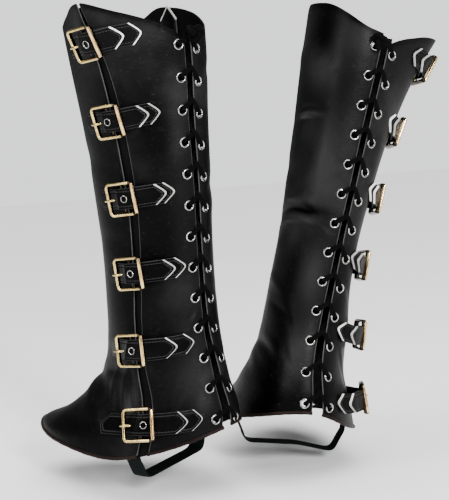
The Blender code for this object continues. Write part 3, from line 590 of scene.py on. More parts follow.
def bells(table, turn, height):
    """The sum of the table's patches, each a bell that fades round the leg and up it."""
    total = np.zeros(turn.shape)
    for row in table:
        patch = dict(zip(PAINTED_SHEEN_AND_SHADE_COLUMNS, row))
        x = ((turn - patch["turn"] + 180) % 360 - 180) * MILLIMETRES_PER_DEGREE / patch["half_round"]
        y = (height - patch["height"]) / patch["half_height"]
        total = total + patch["strength"] * np.exp(-(x**2) - y**2)
    return total


def calmed(chap, turn, height, from_edges):
    """Folds die out towards a panel's edges, where straps, laces and edging hold the leather."""
    return folded(chap, turn, height) * smooth((from_edges / MM - STILL_EDGE) / STILL_FADES)


def eyelet_places(chap, flap):
    """Turns and heights of a flap's thirteen eyelets."""
    outer_drop, inner_drop = chap["eyelet_drop"]
    top = TOP_EYELET_HEIGHT - (outer_drop if flap == "outer" else inner_drop)
    heights = top - EYELET_PITCH * np.arange(EYELET_ROWS)
    away = along(EYELET_FROM_CENTRE, heights)
    return walk_each(LACING_TURN, heights, -away if flap == "outer" else away), heights


def panel(chap, name, columns, rows, start, end, flap):
    """One panel from its first to its last edge: a wall of leather on the leg, with its folds and holes.

    Each face is the leg's ring at the point's turn and height, moved out by the fold's height. The top
    corner at the slit falls away by a quarter ellipse of the chap's own reach and drop.
    """
    u, v = unit_grid(columns, rows)
    turn, height = laid_between(chap, start, end, flap == "outer", u, v)
    from_slit = u * OUTER_FLAP_BREADTH if flap == "outer" else (1 - u) * WRAP_BREADTH
    reach, drop = chap["corner"]
    into_corner = np.clip(1 - from_slit / reach, 0, 1)
    height = height - drop * (1 - np.sqrt(1 - into_corner**2)) * v**CORNER_KEEPS_TO_TOP
    flat = stand_up(chap, on_leg(turn, height, LEATHER))
    ruler = seam_ruler(flat)
    beside_opening = np.isclose(ruler[..., 1], across_edges(flat))
    ruler[..., 1] += np.where(beside_opening, 0, RAW_RIM)
    fold = calmed(chap, turn, height, ruler[..., 1])
    # Painted sheen and shade for the panel's colour, less a darker band along the top edge.
    darker, dark_width = DARK_TOP
    below_top = (height[-1:] - height) / dark_width
    uneven = bells(PAINTED_SHEEN_AND_SHADE[chap["name"]], turn, height) - darker * np.exp(-(below_top**2))
    wear = np.stack([uneven, 0 * u], axis=-1)
    worn_down, breadth = EDGE_ROUNDING
    rounded = worn_down * np.clip(1 - ruler[..., 1] / MM / breadth, 0, 1) ** 2
    outer = stand_up(chap, on_leg(turn, height, LEATHER + fold - rounded))
    inner = stand_up(chap, on_leg(turn, height, fold + rounded))
    keep = np.ones((rows, columns), bool)
    cells = (flat[:-1, :-1] + flat[1:, 1:]) / 2
    for at, up in zip(*eyelet_places(chap, flap)):
        middle = stand_up(chap, on_leg(at, up, LEATHER))
        keep &= np.linalg.norm(cells - middle, axis=-1) > HOLE_CLEARED * MM
    node = f"{chap['name']}_{name}"
    mesh = shell(node, outer, inner, keep, seam=ruler, wear=wear)
    piece = add_piece(f"{node}_leather", mesh, (PANEL_LEATHER, FLESH_SIDE), "black_leather", node)


for chap in CHAPS:
    slit_front = edge(SLIT_TURN, mirrored(SLIT_HALF_GAP))
    slit_back = edge(SLIT_TURN, SLIT_HALF_GAP)
    lacing_outer = edge(LACING_TURN, mirrored(LACING_HALF_GAP))
    lacing_inner = edge(LACING_TURN, LACING_HALF_GAP)
    panel(chap, "outer_panel", 66, 250, slit_back, lacing_outer, "outer")
    panel(chap, "wrap_panel", 168, 250, lambda h: lacing_inner(h) - 360, slit_front, "inner")

# A strip of the same hide is sewn behind the slit of each chap, so that no boot shows between the
# panels' edges where the straps draw them together.
UNDERLAP = 1.4
UNDERLAP_HALF_WIDTH = 12.0
UNDERLAP_ABOVE_HEM = -2.5
UNDERLAP_BELOW_TOP = 4.5
SET_IN = 1.2
# The strip's leather is darker than the panels': painted shade inside the slit.
SHADED_STRIP_LEATHER = leather(
    "strip_leather_painted_shade", (0.001, 0.001, 0.001), (0.002, 0.002, 0.002), (0.6, 0.7), 0.6, 0.5,
    {"From edge": 3.0, "Stitch": 2.6, "Rim": 0.5}, None, (0.01, 0.01, 0.01),
)
for chap in CHAPS:
    u, v = unit_grid(14, 160)
    first, last = edge(SLIT_TURN, -UNDERLAP_HALF_WIDTH), edge(SLIT_TURN, UNDERLAP_HALF_WIDTH)
    turn, height = laid_between(chap, first, last, True, u, v, UNDERLAP_ABOVE_HEM, UNDERLAP_BELOW_TOP)
    outer = stand_up(chap, on_leg(turn, height, np.full(u.shape, -SET_IN)))
    inner = stand_up(chap, on_leg(turn, height, np.full(u.shape, -SET_IN - UNDERLAP)))
    node = f"{chap['name']}_slit_underlap"
    mesh = shell(node, outer, inner, seam=seam_ruler(outer))
    piece = add_piece(f"{node}_leather", mesh, (SHADED_STRIP_LEATHER, FLESH_SIDE), "black_leather", node)

# Six straps close each slit. A tip strap is sewn to the wrap panel by its pointed base, runs through
# its buckle and ends in a point, and a buckle strap behind it holds the buckle and is sewn to the
# outer panel. Both are black leather, stitched near their edges, with pale raw edges.
FAR_AWAY = 99.0  # a distance from a cut point that marks nothing
STRAP_WIDTH = 19.5
STRAP_THICKNESS = 2.0
STRAP_POINT = 9.0
STRAP_RISE = 0.06  # each strap climbs a little towards the back
LAYER_GAP = 0.3
TOP_LAYER = LEATHER + LAYER_GAP
# Height, how far the buckle is ahead of the slit, the lengths from the buckle to the tip strap's base
# and tip and to the buckle strap's tip, how far both bow off the leg, where the hole is, and how much
# thinner the pale point is drawn, more so on its lower half.
STRAP_COLUMNS = ("height", "ahead", "base", "tip", "under_tip", "bow", "hole", "uneven")
STRAPS = (
    (441, 4.0, 52, 35, 51, 1.0, 2.7, 0.0),
    (368, 4.5, 43, 38, 48, 1.5, 0.0, 0.0),
    (293, 2.5, 40, 41, 48, 0.5, 3.0, 0.05),
    (220, -1.0, 42, 42, 51, 1.5, 2.3, 0.25),
    (145, -2.0, 50, 39, 55, 10.0, 1.8, 0.5),
    (70, 3.0, 53, 43, 57, 10.0, 5.0, 0.6),
)
BOW_PEAK = 6.0  # behind the buckle's middle
# How high a tip strap lies over the panel, by the way from the buckle's middle.
STRAP_OVER_BAR = (
    (-16, 0.3), (-9, 2.2), (-4, 4.8), (0, 5.2), (4, 5.2), (10, 5.0), (15, 4.8), (21, 3.6), (28, 2.6),
)
FOLD_ROUND_BAR = 2.3  # the buckle strap stands up by this where it is folded round the centre bar
FOLD_REACH = 7.0
BUCKLE_STRAP_STARTS = -4.0
POINT_SOFTNESS = 0.22  # share of half the breadth over which a strap's point is blunt
STRAP_CROWN = (0.5, 1.8)  # how far the edges are worn down, and over what breadth
STITCH_DENT = (0.25, 2.4, 0.8)  # how deep the stitches sink, how far in and over what breadth
STRAP_LEATHER = leather(
    "strap_leather", (0.0007, 0.0007, 0.0007), (0.0026, 0.0026, 0.0027), (0.32, 0.42), 0.6, 0.35,
    {"From edge": 2.6, "Stitch": 2.6, "Rim": 0.5}, (0.022, 0.022, 0.022), (0.03, 0.03, 0.03),
    (((0.85, 0.84, 0.81), 1.15), ((0.05, 0.05, 0.052), 0.7)), shine=0.026,
)


def lifted(row, gone):
    """How much of a strap's bow there is: 1 less the square of the way from its peak."""
    reach = np.where(gone < BOW_PEAK, row["base"] + BOW_PEAK, row["under_tip"] - BOW_PEAK)
    return np.clip(1 - ((gone - BOW_PEAK) / reach) ** 2, 0, 1)


def bow(row, gone):
    """How far a strap bows off the leg, steeper ahead of its peak than behind it."""
    return row["bow"] * lifted(row, gone) ** np.where(gone < BOW_PEAK, 2.0, 1.2)


def strap_surface(chap, row, gone, rise, out):
    """Points a distance along a strap and across it, out from the leather by its own height there."""
    centre = walk(along(SLIT_TURN, row["height"]), row["height"], -row["ahead"])
    turn = walk(centre, row["height"], gone)
    height = row["height"] + rise + STRAP_RISE * gone
    points = on_leg(turn, height, out + bow(row, gone), drawn_in=1 - lifted(row, gone))
    return stand_up(chap, points)


def strap(chap, node, row, begin, finish, pointed_base, stand):
    """A strap on a grid, with blunt points for ends.

    A point falls back by the root of the squares of the way across and the softness, less the
    softness, as a share of what that is at the strap's edge.
    """
    u, v = unit_grid(110, 16)
    across = 2 * v - 1
    soft = POINT_SOFTNESS
    point = STRAP_POINT * (np.sqrt(across**2 + soft**2) - soft) / (math.sqrt(1 + soft**2) - soft)
    start = begin + point * pointed_base
    gone = start + (finish - point - start) * u
    rise = across * STRAP_WIDTH / 2
    slant = math.hypot(STRAP_POINT, STRAP_WIDTH / 2) / (STRAP_WIDTH / 2)
    sides = STRAP_WIDTH / 2 - np.abs(rise)
    ends = [(finish - point - gone) / slant]
    if pointed_base:
        ends.append((gone - begin - point) / slant)
    nearest = np.minimum.reduce([sides, *ends])
    run = np.where(nearest == sides, gone, np.abs(rise))
    worn_down, breadth = STRAP_CROWN
    crown = worn_down * np.clip(1 - nearest / breadth, 0, 1) ** 2
    depth, inset, breadth = STITCH_DENT
    dent = depth * np.exp(-((nearest - inset) / breadth) ** 2)
    out = stand(gone)
    outer = strap_surface(chap, row, gone, rise, out + STRAP_THICKNESS - crown - dent)
    inner = strap_surface(chap, row, gone, rise, out + 0.3 * crown)
    ruler = np.stack([run, nearest], axis=-1) * MM
    uneven = 1 + row["uneven"] * (0.6 + np.clip(-across, 0, 1))
    from_base = (gone - begin - point) / slant + FAR_AWAY * (not pointed_base)
    points = np.stack([(finish - point - gone) / slant * uneven, from_base], axis=-1)
    mesh = shell(node, outer, inner, seam=ruler, cut=points * MM)
    add_piece(f"{node}_leather", mesh, (STRAP_LEATHER, FLESH_SIDE), "strap_leather", node)


for chap in CHAPS:
    for number, values in enumerate(STRAPS, 1):
        row = dict(zip(STRAP_COLUMNS, values))
        node = f"{chap['name']}_buckle_strap_{number}"
        strap(chap, node, row, BUCKLE_STRAP_STARTS, row["under_tip"], False,
              lambda gone: TOP_LAYER + FOLD_ROUND_BAR * np.exp(-((gone / FOLD_REACH) ** 2)))
        node = f"{chap['name']}_tip_strap_{number}"
        strap(chap, node, row, -row["base"], row["tip"], True,
              lambda gone: LEATHER + along(STRAP_OVER_BAR, gone))

# Each buckle is a square of pale brass wire with a centre bar that the buckle strap is folded round,
# a thicker back bar, and a prong that rests on the front bar.
BUCKLE_SIDE = 30.0
BUCKLE_WIRE = 3.0
BUCKLE_CORNER = 3.5
BUCKLE_STAND = 7.4  # height of the frame's wire above the panel
DEEPER = -2.7  # the wire is this much deeper than round, on the side of the leather
BACK_BAR = 3.7
BACK_BAR_SHAPE = (0.8, 0.97, 1, 1, 1, 1, 1, 0.97, 0.8)  # its thickness from end to end
BACK_BAR_SET_IN = 0.6
SHADED_ARMS = 6.5  # the arms are painted in shade, near-black, this far from the back bar
SHADED_BELOW = 0.4  # and so is the wire this far under its middle
SHADED_BAR_BELOW = 0.6  # and the back bar this far under its own
CENTRE_BAR_DIAMETER = 2.0
CENTRE_BAR_STAND = 3.6
CENTRE_BAR_ARM = 2.0
PRONG_DIAMETER = 2.2
PRONG_LENGTH = 8.5
PRONG_PAST_ENDS = 1.5
PRONG_BEHIND = 2.0  # the prong's middle from the front bar
PRONG_SUNK = 0.7
PRONG_DROOP = 0.05
PRONG_RAISED = 0.35


def swept(path, side, up, section):
    """A section carried along a path: each point is the path's plus the section's two shares of side and up.

    path, side and up have a row for each station, and section a row of two numbers for each corner,
    or such rows for each station.
    """
    section = np.broadcast_to(section, (len(path), *np.shape(section)[-2:]))
    return path[:, None] + section[..., :1] * side[:, None] + section[..., 1:] * up[:, None]


def grid_faces(rows, columns, round_rows=False):
    """Four-cornered faces of a grid that is closed round its columns, and round its rows if asked."""
    last = rows if round_rows else rows - 1
    i, j = np.meshgrid(np.arange(last), np.arange(columns), indexing="ij")
    near, far, after = i * columns, (i + 1) % rows * columns, (j + 1) % columns
    return np.stack([near + j, near + after, far + after, far + j], axis=-1).reshape(-1, 4)


def end_caps(rows, columns):
    """Faces that close both ends of a swept section, by pairs of its corners from its two sides."""
    k = np.arange((columns - 2) // 2)
    cap = np.stack([k, k + 1, columns - 2 - k, columns - 1 - k], axis=-1)
    return np.concatenate([cap, (cap + (rows - 1) * columns)[:, ::-1]])


def joined(parts):
    """Points and faces of several pieces as one list each."""
    points, faces, count = [], [], 0
    for some_points, some_faces in parts:
        points.append(some_points.reshape(-1, 3))
        faces.append(some_faces + count)
        count += len(points[-1])
    return np.concatenate(points), np.concatenate(faces)


def outward(points, faces):
    """The faces turned so that a closed surface holds a positive volume."""
    a, b, c, d = (points[faces[:, k]] for k in range(4))
    volume = (np.cross(b - a, c - a) * a).sum() + (np.cross(c - a, d - a) * a).sum()
    return faces if volume > 0 else faces[:, ::-1]


def rod(path, radii, sides=14):
    """A round rod along a path that lies level or in one upright plane: circles, closed at both ends."""
    path = np.asarray(path, float)
    travel = np.gradient(path, axis=0)
    travel /= np.linalg.norm(travel, axis=1, keepdims=True)
    up = np.broadcast_to((0.0, 0.0, 1.0), path.shape)
    side = np.cross(travel, up)
    side /= np.linalg.norm(side, axis=1, keepdims=True)
    up = np.cross(side, travel)
    angle = np.linspace(0, 2 * np.pi, sides, endpoint=False)
    circle = np.stack([np.cos(angle), np.sin(angle)], axis=-1)
    section = circle * np.asarray(radii, float).reshape(-1, 1, 1)
    points = swept(path, side, up, section).reshape(-1, 3)
    faces = np.concatenate([grid_faces(len(path), sides), end_caps(len(path), sides)])
    return points, outward(points, faces)


def buckle_form():
    """Points, faces and finishes of one buckle: x along the strap, y up the leg, z off the leather.

    The wire's path is a square with a quarter circle at each corner, and its section a circle that is
    drawn deeper below. The centre bar dips by a smooth step, and the prong droops by a square. The
    finishes are 0 for pale brass, 1 for near-black brass that paints shade, and 2 for warm.
    """
    half = BUCKLE_SIDE / 2
    inset = half - BUCKLE_CORNER
    quarter = np.linspace(0, np.pi / 2, 7)
    corners = ((1, 1), (-1, 1), (-1, -1), (1, -1))
    ring_path = np.concatenate([
        np.stack([
            x * inset + BUCKLE_CORNER * np.cos(first * np.pi / 2 + quarter),
            y * inset + BUCKLE_CORNER * np.sin(first * np.pi / 2 + quarter),
            np.full(7, BUCKLE_STAND),
        ], axis=-1)
        for first, (x, y) in enumerate(corners)
    ])
    travel = np.roll(ring_path, -1, axis=0) - np.roll(ring_path, 1, axis=0)
    travel /= np.linalg.norm(travel, axis=1, keepdims=True)
    up = np.broadcast_to((0.0, 0.0, 1.0), ring_path.shape)
    angle = np.linspace(0, 2 * np.pi, 16, endpoint=False)
    circle = np.stack([np.cos(angle), np.sin(angle)], axis=-1) * BUCKLE_WIRE / 2
    circle[:, 1] += DEEPER * np.clip(-np.sin(angle), 0, 1)
    wire = swept(ring_path, np.cross(travel, up), up, circle).reshape(-1, 3)
    wire_faces = grid_faces(len(ring_path), 16, round_rows=True)
    y = np.linspace(-half, half, 41)
    sag = smooth((half - np.abs(y)) / CENTRE_BAR_ARM)
    bar = np.stack([0 * y, y, BUCKLE_STAND + (CENTRE_BAR_STAND - BUCKLE_STAND) * sag], axis=-1)
    y = np.linspace(BACK_BAR_SET_IN - half, half - BACK_BAR_SET_IN, len(BACK_BAR_SHAPE))
    back = np.stack([np.full(len(y), half), y, np.full(len(y), BUCKLE_STAND)], axis=-1)
    rest = BUCKLE_STAND + BUCKLE_WIRE / 2 + PRONG_DIAMETER / 2 - PRONG_SUNK
    reach = PRONG_LENGTH / 2 + PRONG_PAST_ENDS
    x = np.linspace(-reach, reach, 23)
    z = rest - PRONG_DROOP * x**2 + PRONG_RAISED
    prong = np.stack([x - half + PRONG_BEHIND, 0 * x, z], axis=-1)
    taper = PRONG_DIAMETER / 2 * np.sqrt(np.clip(1 - (np.abs(x) / (reach + 0.4)) ** 6, 0.02, 1))
    parts = [
        (wire, outward(wire, wire_faces)),
        rod(bar, np.full(len(bar), CENTRE_BAR_DIAMETER / 2)),
        rod(back, BACK_BAR / 2 * np.array(BACK_BAR_SHAPE)),
        rod(prong, taper),
    ]
    points, faces = joined(parts)
    wire_end, bar_end, back_end, _ = np.cumsum([len(some_faces) for _, some_faces in parts])
    along_strap, _, off_leather = points[faces].mean(axis=1).T
    finish = np.zeros(len(faces), np.int32)
    # Finish 1 is painted shade: under the wire, on the arms by the back bar, the whole centre bar and under
    # the back bar.
    shaded = (along_strap > half - SHADED_ARMS) | (off_leather < BUCKLE_STAND - SHADED_BELOW)
    finish[:wire_end] = shaded[:wire_end]
    finish[wire_end:bar_end] = 1
    underneath = off_leather[bar_end:back_end] < BUCKLE_STAND - SHADED_BAR_BELOW
    finish[bar_end:back_end] = np.where(underneath, 1, 2)
    return points, faces, finish


def plate_wear():
    """Plated wire: patches where the plate is tarnished, and fine scratches."""
    tree, given, out = group("plate_wear", {"Patch scale": 160.0, "Bright": 0.17, "Dulled": 0.32},
                             ("Tarnish", "Roughness", "Scratches"))
    place = put(tree, "ShaderNodeTexCoord").outputs["Object"]
    spots = {"Vector": place, "Scale": given["Patch scale"], "Detail": 4.0, "Roughness": 0.6}
    tarnish = between(tree, put(tree, "ShaderNodeTexNoise", spots).outputs[0], 0.42, 0.68)
    tree.links.new(tarnish, out["Tarnish"])
    tree.links.new(between(tree, tarnish, 0.0, 1.0, given["Bright"], given["Dulled"]), out["Roughness"])
    scratches = put(tree, "ShaderNodeTexNoise", {"Vector": place, "Scale": 700.0, "Detail": 2.0})
    tree.links.new(scratches.outputs[0], out["Scratches"])
    return tree


PLATE = plate_wear()


def plated(name, shade, tarnish):
    """A plated metal: bright on what rubs, duller and browner in patches."""
    material = bpy.data.materials.new(name)
    material.use_nodes = True
    tree = material.node_tree
    shader = tree.nodes["Principled BSDF"]
    wear = put(tree, "ShaderNodeGroup", {}, node_tree=PLATE)
    tree.links.new(blended(tree, wear.outputs["Tarnish"], shade, tarnish), shader.inputs["Base Color"])
    tree.links.new(wear.outputs["Roughness"], shader.inputs["Roughness"])
    shader.inputs["Metallic"].default_value = 1.0
    scratches = wear.outputs["Scratches"]
    bump = put(tree, "ShaderNodeBump", {"Height": scratches, "Strength": 0.12, "Distance": 0.0002})
    tree.links.new(bump.outputs[0], shader.inputs["Normal"])
    return material


def frame_at(chap, turn, height, slope, drawn_in=1.0):
    """Unit arrows along a strap that climbs by the slope, up the leg and out of it, and where they stand."""
    step = 2.0
    corners = (turn, height), (walk(turn, height, step), height + slope * step), (turn, height + step)
    here, beside, above = (stand_up(chap, on_leg(t, h, 0.0, drawn_in)) for t, h in corners)
    onwards = (beside - here) / np.linalg.norm(beside - here)
    out = np.cross(onwards, above - here) * -chap["side"]
    out /= np.linalg.norm(out)
    return np.stack([onwards, np.cross(out, onwards), out]), here


PALE_BRASS = plated("pale_brass", (0.66, 0.50, 0.21), (0.36, 0.25, 0.09))
WARM_BRASS = plated("warm_brass", (0.78, 0.54, 0.26), (0.46, 0.28, 0.11))
# Near-black brass for the shade painted on each buckle.
SHADE_PAINTED_BRASS = plated("brass_painted_shade", (0.04, 0.032, 0.02), (0.02, 0.017, 0.012))
buckle_points, buckle_faces, buckle_finishes = buckle_form()
for chap in CHAPS:
    for number, values in enumerate(STRAPS, 1):
        row = dict(zip(STRAP_COLUMNS, values))
        centre = walk(along(SLIT_TURN, row["height"]), row["height"], -row["ahead"])
        axes, here = frame_at(chap, centre, row["height"], STRAP_RISE, drawn_in=0.0)
        seat = np.array((0.0, 0.0, LEATHER + float(bow(row, 0.0))))
        points = (buckle_points + seat) * MM @ axes + here
        node = f"{chap['name']}_buckle_{number}"
        mesh = new_mesh(node, points, outward(points, buckle_faces))
        mesh.polygons.foreach_set("material_index", buckle_finishes)
        add_piece(f"{node}_brass", mesh, (PALE_BRASS, SHADE_PAINTED_BRASS, WARM_BRASS), "pale_brass", node)

# Rolled steel eyelets, nickel plated, line the lace holes of both flaps, and a smaller one lines the
# hole in each tip strap that shows inside its buckle.
EYELET_RIM = 5.1
EYELET_BORE = 3.4
STRAP_EYELET_RIM = 3.8
STRAP_EYELET_BORE = 2.7
RIM_SEAT = 0.15
RIM_HEIGHT = 0.95
BARREL_WALL = (0.05, 0.35, 0.5)  # its inside, its outside and its foot under the rim, out from the bore
BARREL_PAST_LEATHER = 0.6


def rolled_rings(seats, rim, bore, depth):
    """Rings turned about each seat's outward arrow: a rounded rim on the leather and a barrel through it.

    The section is half an ellipse from the rim to the bore, then the barrel down, out and back up.
    """
    middle, half = (rim + bore) / 2, (rim - bore) / 2
    roll = np.linspace(0, np.pi, 9)
    profile_r = np.concatenate([middle + half * np.cos(roll), bore + np.array(BARREL_WALL)])
    profile_z = np.concatenate([RIM_SEAT + RIM_HEIGHT * np.sin(roll), [-depth, -depth, 0.0]])
    angle = np.linspace(0, 2 * np.pi, 24, endpoint=False)[:, None]
    local = np.stack([profile_r * np.cos(angle), profile_r * np.sin(angle), profile_z + 0 * angle], axis=-1)
    faces = grid_faces(24, len(profile_r), round_rows=True)
    parts = []
    for axes, here in seats:
        points = (local.reshape(-1, 3) * MM) @ axes + here
        parts.append((points, outward(points - here, faces)))
    return joined(parts)


NICKEL = plated("nickel_plate", (0.36, 0.355, 0.34), (0.12, 0.118, 0.112))
for chap in CHAPS:
    for flap in ("outer", "inner"):
        seats = []
        for at, up in zip(*eyelet_places(chap, flap)):
            axes, here = frame_at(chap, at, up, 0.0)
            seats.append((axes, here + axes[2] * LEATHER * MM))
        barrel = LEATHER + BARREL_PAST_LEATHER
        mesh = new_mesh("rings", *rolled_rings(seats, EYELET_RIM, EYELET_BORE, barrel))
        add_piece(f"{chap['name']}_{flap}_eyelets", mesh, NICKEL, "pale_brass")
    seats = []
    for number, values in enumerate(STRAPS, 1):
        row = dict(zip(STRAP_COLUMNS, values))
        centre = walk(along(SLIT_TURN, row["height"]), row["height"], row["hole"] - row["ahead"])
        over_bar = float(along(STRAP_OVER_BAR, row["hole"]))
        stand = LEATHER + over_bar + STRAP_THICKNESS + float(bow(row, row["hole"]))
        height = row["height"] + STRAP_RISE * row["hole"]
        axes, here = frame_at(chap, centre, height, STRAP_RISE, drawn_in=0.0)
        seats.append((axes, here + axes[2] * stand * MM))
    mesh = new_mesh("rings", *rolled_rings(seats, STRAP_EYELET_RIM, STRAP_EYELET_BORE, STRAP_THICKNESS))
    add_piece(f"{chap['name']}_strap_eyelets", mesh, NICKEL, "pale_brass")

# One flat woven lace closes the back of each chap: criss-cross from the bottom row up, each strand
# over its flap and down through the eyelet, with a knot above the top row.
LACE_WIDTH = 5.0
LACE_WIDTH_IN_HOLE = 3.4
LACE_WIDTH_CROSSING = 2.8
LACE_THICKNESS = 1.0
LACE_CROSSING_RISE = 12.0
LACE_OUT_OF_KNOT = ((3.2, 2.0), (4.5, -5.0))  # across and up from the knot
LACE_OVER_FLAP = 0.4
LACE_CROSSING_STANDS = (-0.1, 2.5)  # the strand below and the one on top
LACE_SPREAD_AT_CROSSING = 2.0
LACE_AT_GAP_EDGE = (0.5, 0.8, 0.6, 0.4)  # share of the gap and of the rise, out, and narrowing
# Share of the eyelet's distance, rise from it or drop, out or in, and narrowing of the lace.
LACE_INTO_EYELET = ((0.72, 3.2, 0.9, 0.0), (0.97, 0.8, 0.3, 1.1))
LACE_OUT_OF_EYELET = ((0.97, 0.8, 0.9, 1.6), (0.72, 3.2, 1.4, 1.0))
LACE_BEHIND_CROSSING = 5.0
LACE_BEHIND_GAP = 0.55
LACE_BAR_DROP = 2.0
LACE_BAR_HALF = 8.0
LACE_BAR_IN = 1.6
LACE_STATIONS = 1500
KNOT_RISE = 11.0
KNOT_SEAT = {"left": (4.0, 1.0, 2.1), "right": (8.6, -6.4, 1.6)}  # across, up and out
KNOT_SIZE = (14.0, 12.5, 5.0)
KNOT_TAPE = (6.2, 4.2)  # breadth and thickness of the pulled-up lace in the knot
KNOT_LACE_LENGTH = 0.09
KNOT_MIDDLE = 4.0  # the knot's middle over its seat


def lace_route(chap):
    """The lace's middle line, widthwise arrows, facing arrows and widths, from the knot down and back up."""
    eyelets = {-1: eyelet_places(chap, "outer")[1], 1: eyelet_places(chap, "inner")[1]}
    rows = (eyelets[-1] + eyelets[1]) / 2
    above = LEATHER + LAYER_GAP + LACE_THICKNESS / 2
    below = -LAYER_GAP - LACE_THICKNESS / 2

    def strand(first_flap):
        steps = []
        for row, middle in enumerate(rows):
            flap = first_flap if row % 2 == 0 else -first_flap
            height = eyelets[flap][row]
            eyelet = flap * along(EYELET_FROM_CENTRE, height)
            gap = flap * along(LACING_HALF_GAP, height)
            if row == 0:
                for across, up in LACE_OUT_OF_KNOT:
                    level = middle + KNOT_RISE + up
                    steps.append((flap * across, level, above + LACE_OVER_FLAP, LACE_WIDTH))
            else:
                on_top = (first_flap > 0) == (row % 2 == 0)
                stand = LACE_CROSSING_STANDS[int(on_top)]
                width = LACE_WIDTH_CROSSING + LACE_SPREAD_AT_CROSSING
                steps.append((0, middle + LACE_CROSSING_RISE, stand, width))
                gap_share, rise_share, out, narrower = LACE_AT_GAP_EDGE
                level = middle + rise_share * LACE_CROSSING_RISE
                steps.append((gap_share * gap, level, above + out, LACE_WIDTH - narrower))
            for share, rise, out, narrower in LACE_INTO_EYELET:
                steps.append((share * eyelet, height + rise, above + out, LACE_WIDTH - narrower))
            steps.append((eyelet, height, LEATHER / 2, LACE_WIDTH_IN_HOLE))
            for share, drop, out, narrower in LACE_OUT_OF_EYELET[: 2 if row < EYELET_ROWS - 1 else 1]:
                steps.append((share * eyelet, height - drop, below - out, LACE_WIDTH - narrower))
            if row < EYELET_ROWS - 1:
                level = rows[row + 1] + LACE_CROSSING_RISE + LACE_BEHIND_CROSSING
                steps.append((LACE_BEHIND_GAP * gap, level, below - SET_IN, LACE_WIDTH - 1))
        return steps

    bar = [
        (x, rows[-1] - LACE_BAR_DROP, below - LACE_BAR_IN, LACE_WIDTH_IN_HOLE)
        for x in (-LACE_BAR_HALF, 0.0, LACE_BAR_HALF)
    ]
    steps = np.array(strand(-1) + bar + strand(1)[::-1])
    heights = steps[:, 1]
    turns = walk_each(LACING_TURN, heights, steps[:, 0])
    middle = stand_up(chap, on_leg(turns, heights, steps[:, 2]))
    facing = stand_up(chap, on_leg(turns, heights, 5.0)) - stand_up(chap, on_leg(turns, heights, 0.0))
    gone = np.concatenate([[0], np.cumsum(np.linalg.norm(np.diff(middle, axis=0), axis=1))])
    at = np.linspace(0, gone[-1], LACE_STATIONS)
    middle, facing = (
        np.stack([along(np.stack([gone, column], axis=1), at) for column in points.T], axis=1)
        for points in (middle, facing)
    )
    widths = np.interp(at, gone, steps[:, 3])
    travel = np.gradient(middle, axis=0)
    widthwise = np.cross(facing, travel)
    widthwise /= np.linalg.norm(widthwise, axis=1, keepdims=True)
    flips = np.sign((widthwise[1:] * widthwise[:-1]).sum(axis=1))
    widthwise[1:] *= np.cumprod(flips)[:, None]
    thick = np.cross(travel, widthwise)
    thick /= np.linalg.norm(thick, axis=1, keepdims=True)
    return middle, widthwise, thick, widths, at


def slanting_threads():
    """From the tape's own length and breadth: threads that slant up to its middle from both edges."""
    tree, given, out = group("slanting_threads", {"Threads per metre": 900.0}, ("Height", "Light"))
    ruler = put(tree, "ShaderNodeUVMap", uv_map="seam").outputs[0]
    run, breadth, _ = put(tree, "ShaderNodeSeparateXYZ", {0: ruler}).outputs
    slant = sums(tree, "MULTIPLY", sums(tree, "ABSOLUTE", sums(tree, "SUBTRACT", breadth, 0.5)), 3.0)
    threads = sums(tree, "MULTIPLY_ADD", run, given["Threads per metre"], slant)
    threads = sums(tree, "SINE", sums(tree, "MULTIPLY", threads, 2 * math.pi))
    place = put(tree, "ShaderNodeTexCoord").outputs["Object"]
    fuzz = put(tree, "ShaderNodeTexNoise", {"Vector": place, "Scale": 1400.0, "Detail": 2.0})
    tree.links.new(threads, out["Height"])
    light = between(tree, sums(tree, "MULTIPLY_ADD", fuzz.outputs[0], 0.8, threads), -0.6, 1.4)
    tree.links.new(light, out["Light"])
    return tree


THREADS = slanting_threads()


def woven(name, dark, light, rib):
    """Black woven tape, its threads a given number of millimetres apart."""
    material = bpy.data.materials.new(name)
    material.use_nodes = True
    tree = material.node_tree
    shader = tree.nodes["Principled BSDF"]
    threads = put(tree, "ShaderNodeGroup", {}, node_tree=THREADS)
    threads.inputs["Threads per metre"].default_value = 1000.0 / rib
    tree.links.new(blended(tree, threads.outputs["Light"], dark, light), shader.inputs["Base Color"])
    shader.inputs["Roughness"].default_value = 0.82
    shader.inputs["Specular IOR Level"].default_value = 0.045
    height = threads.outputs["Height"]
    bump = put(tree, "ShaderNodeBump", {"Height": height, "Strength": 0.5, "Distance": 0.00025})
    tree.links.new(bump.outputs[0], shader.inputs["Normal"])
    return material


TAPE_SIDES = 14
LACE_CLOTH = woven("lace_cloth", (0.0002, 0.0002, 0.0002), (0.0008, 0.0008, 0.0008), 1.1)


def tape(name, middle, side, up, widths, thickness, run):
    """A flat tape carried along a line: an oval squared by powers of its cosine and sine."""
    angle = np.linspace(0, 2 * np.pi, TAPE_SIDES, endpoint=False) + np.pi / TAPE_SIDES
    cosine, sine = np.cos(angle), np.sin(angle)
    oval = np.stack([np.sign(cosine) * np.abs(cosine) ** 0.6, np.sign(sine) * np.abs(sine) ** 0.8], axis=-1)
    size = np.stack([widths / 2, np.full(len(middle), thickness / 2)], axis=-1)[:, None] * MM
    points = swept(middle, side, up, oval * size).reshape(-1, 3)
    faces = np.concatenate([grid_faces(len(middle), TAPE_SIDES), end_caps(len(middle), TAPE_SIDES)])
    ruler = np.stack(np.broadcast_arrays(run[:, None], oval[:, 0] / 2 + 0.5), axis=-1)
    return new_mesh(name, points, outward(points, faces), seam=ruler.reshape(-1, 2))


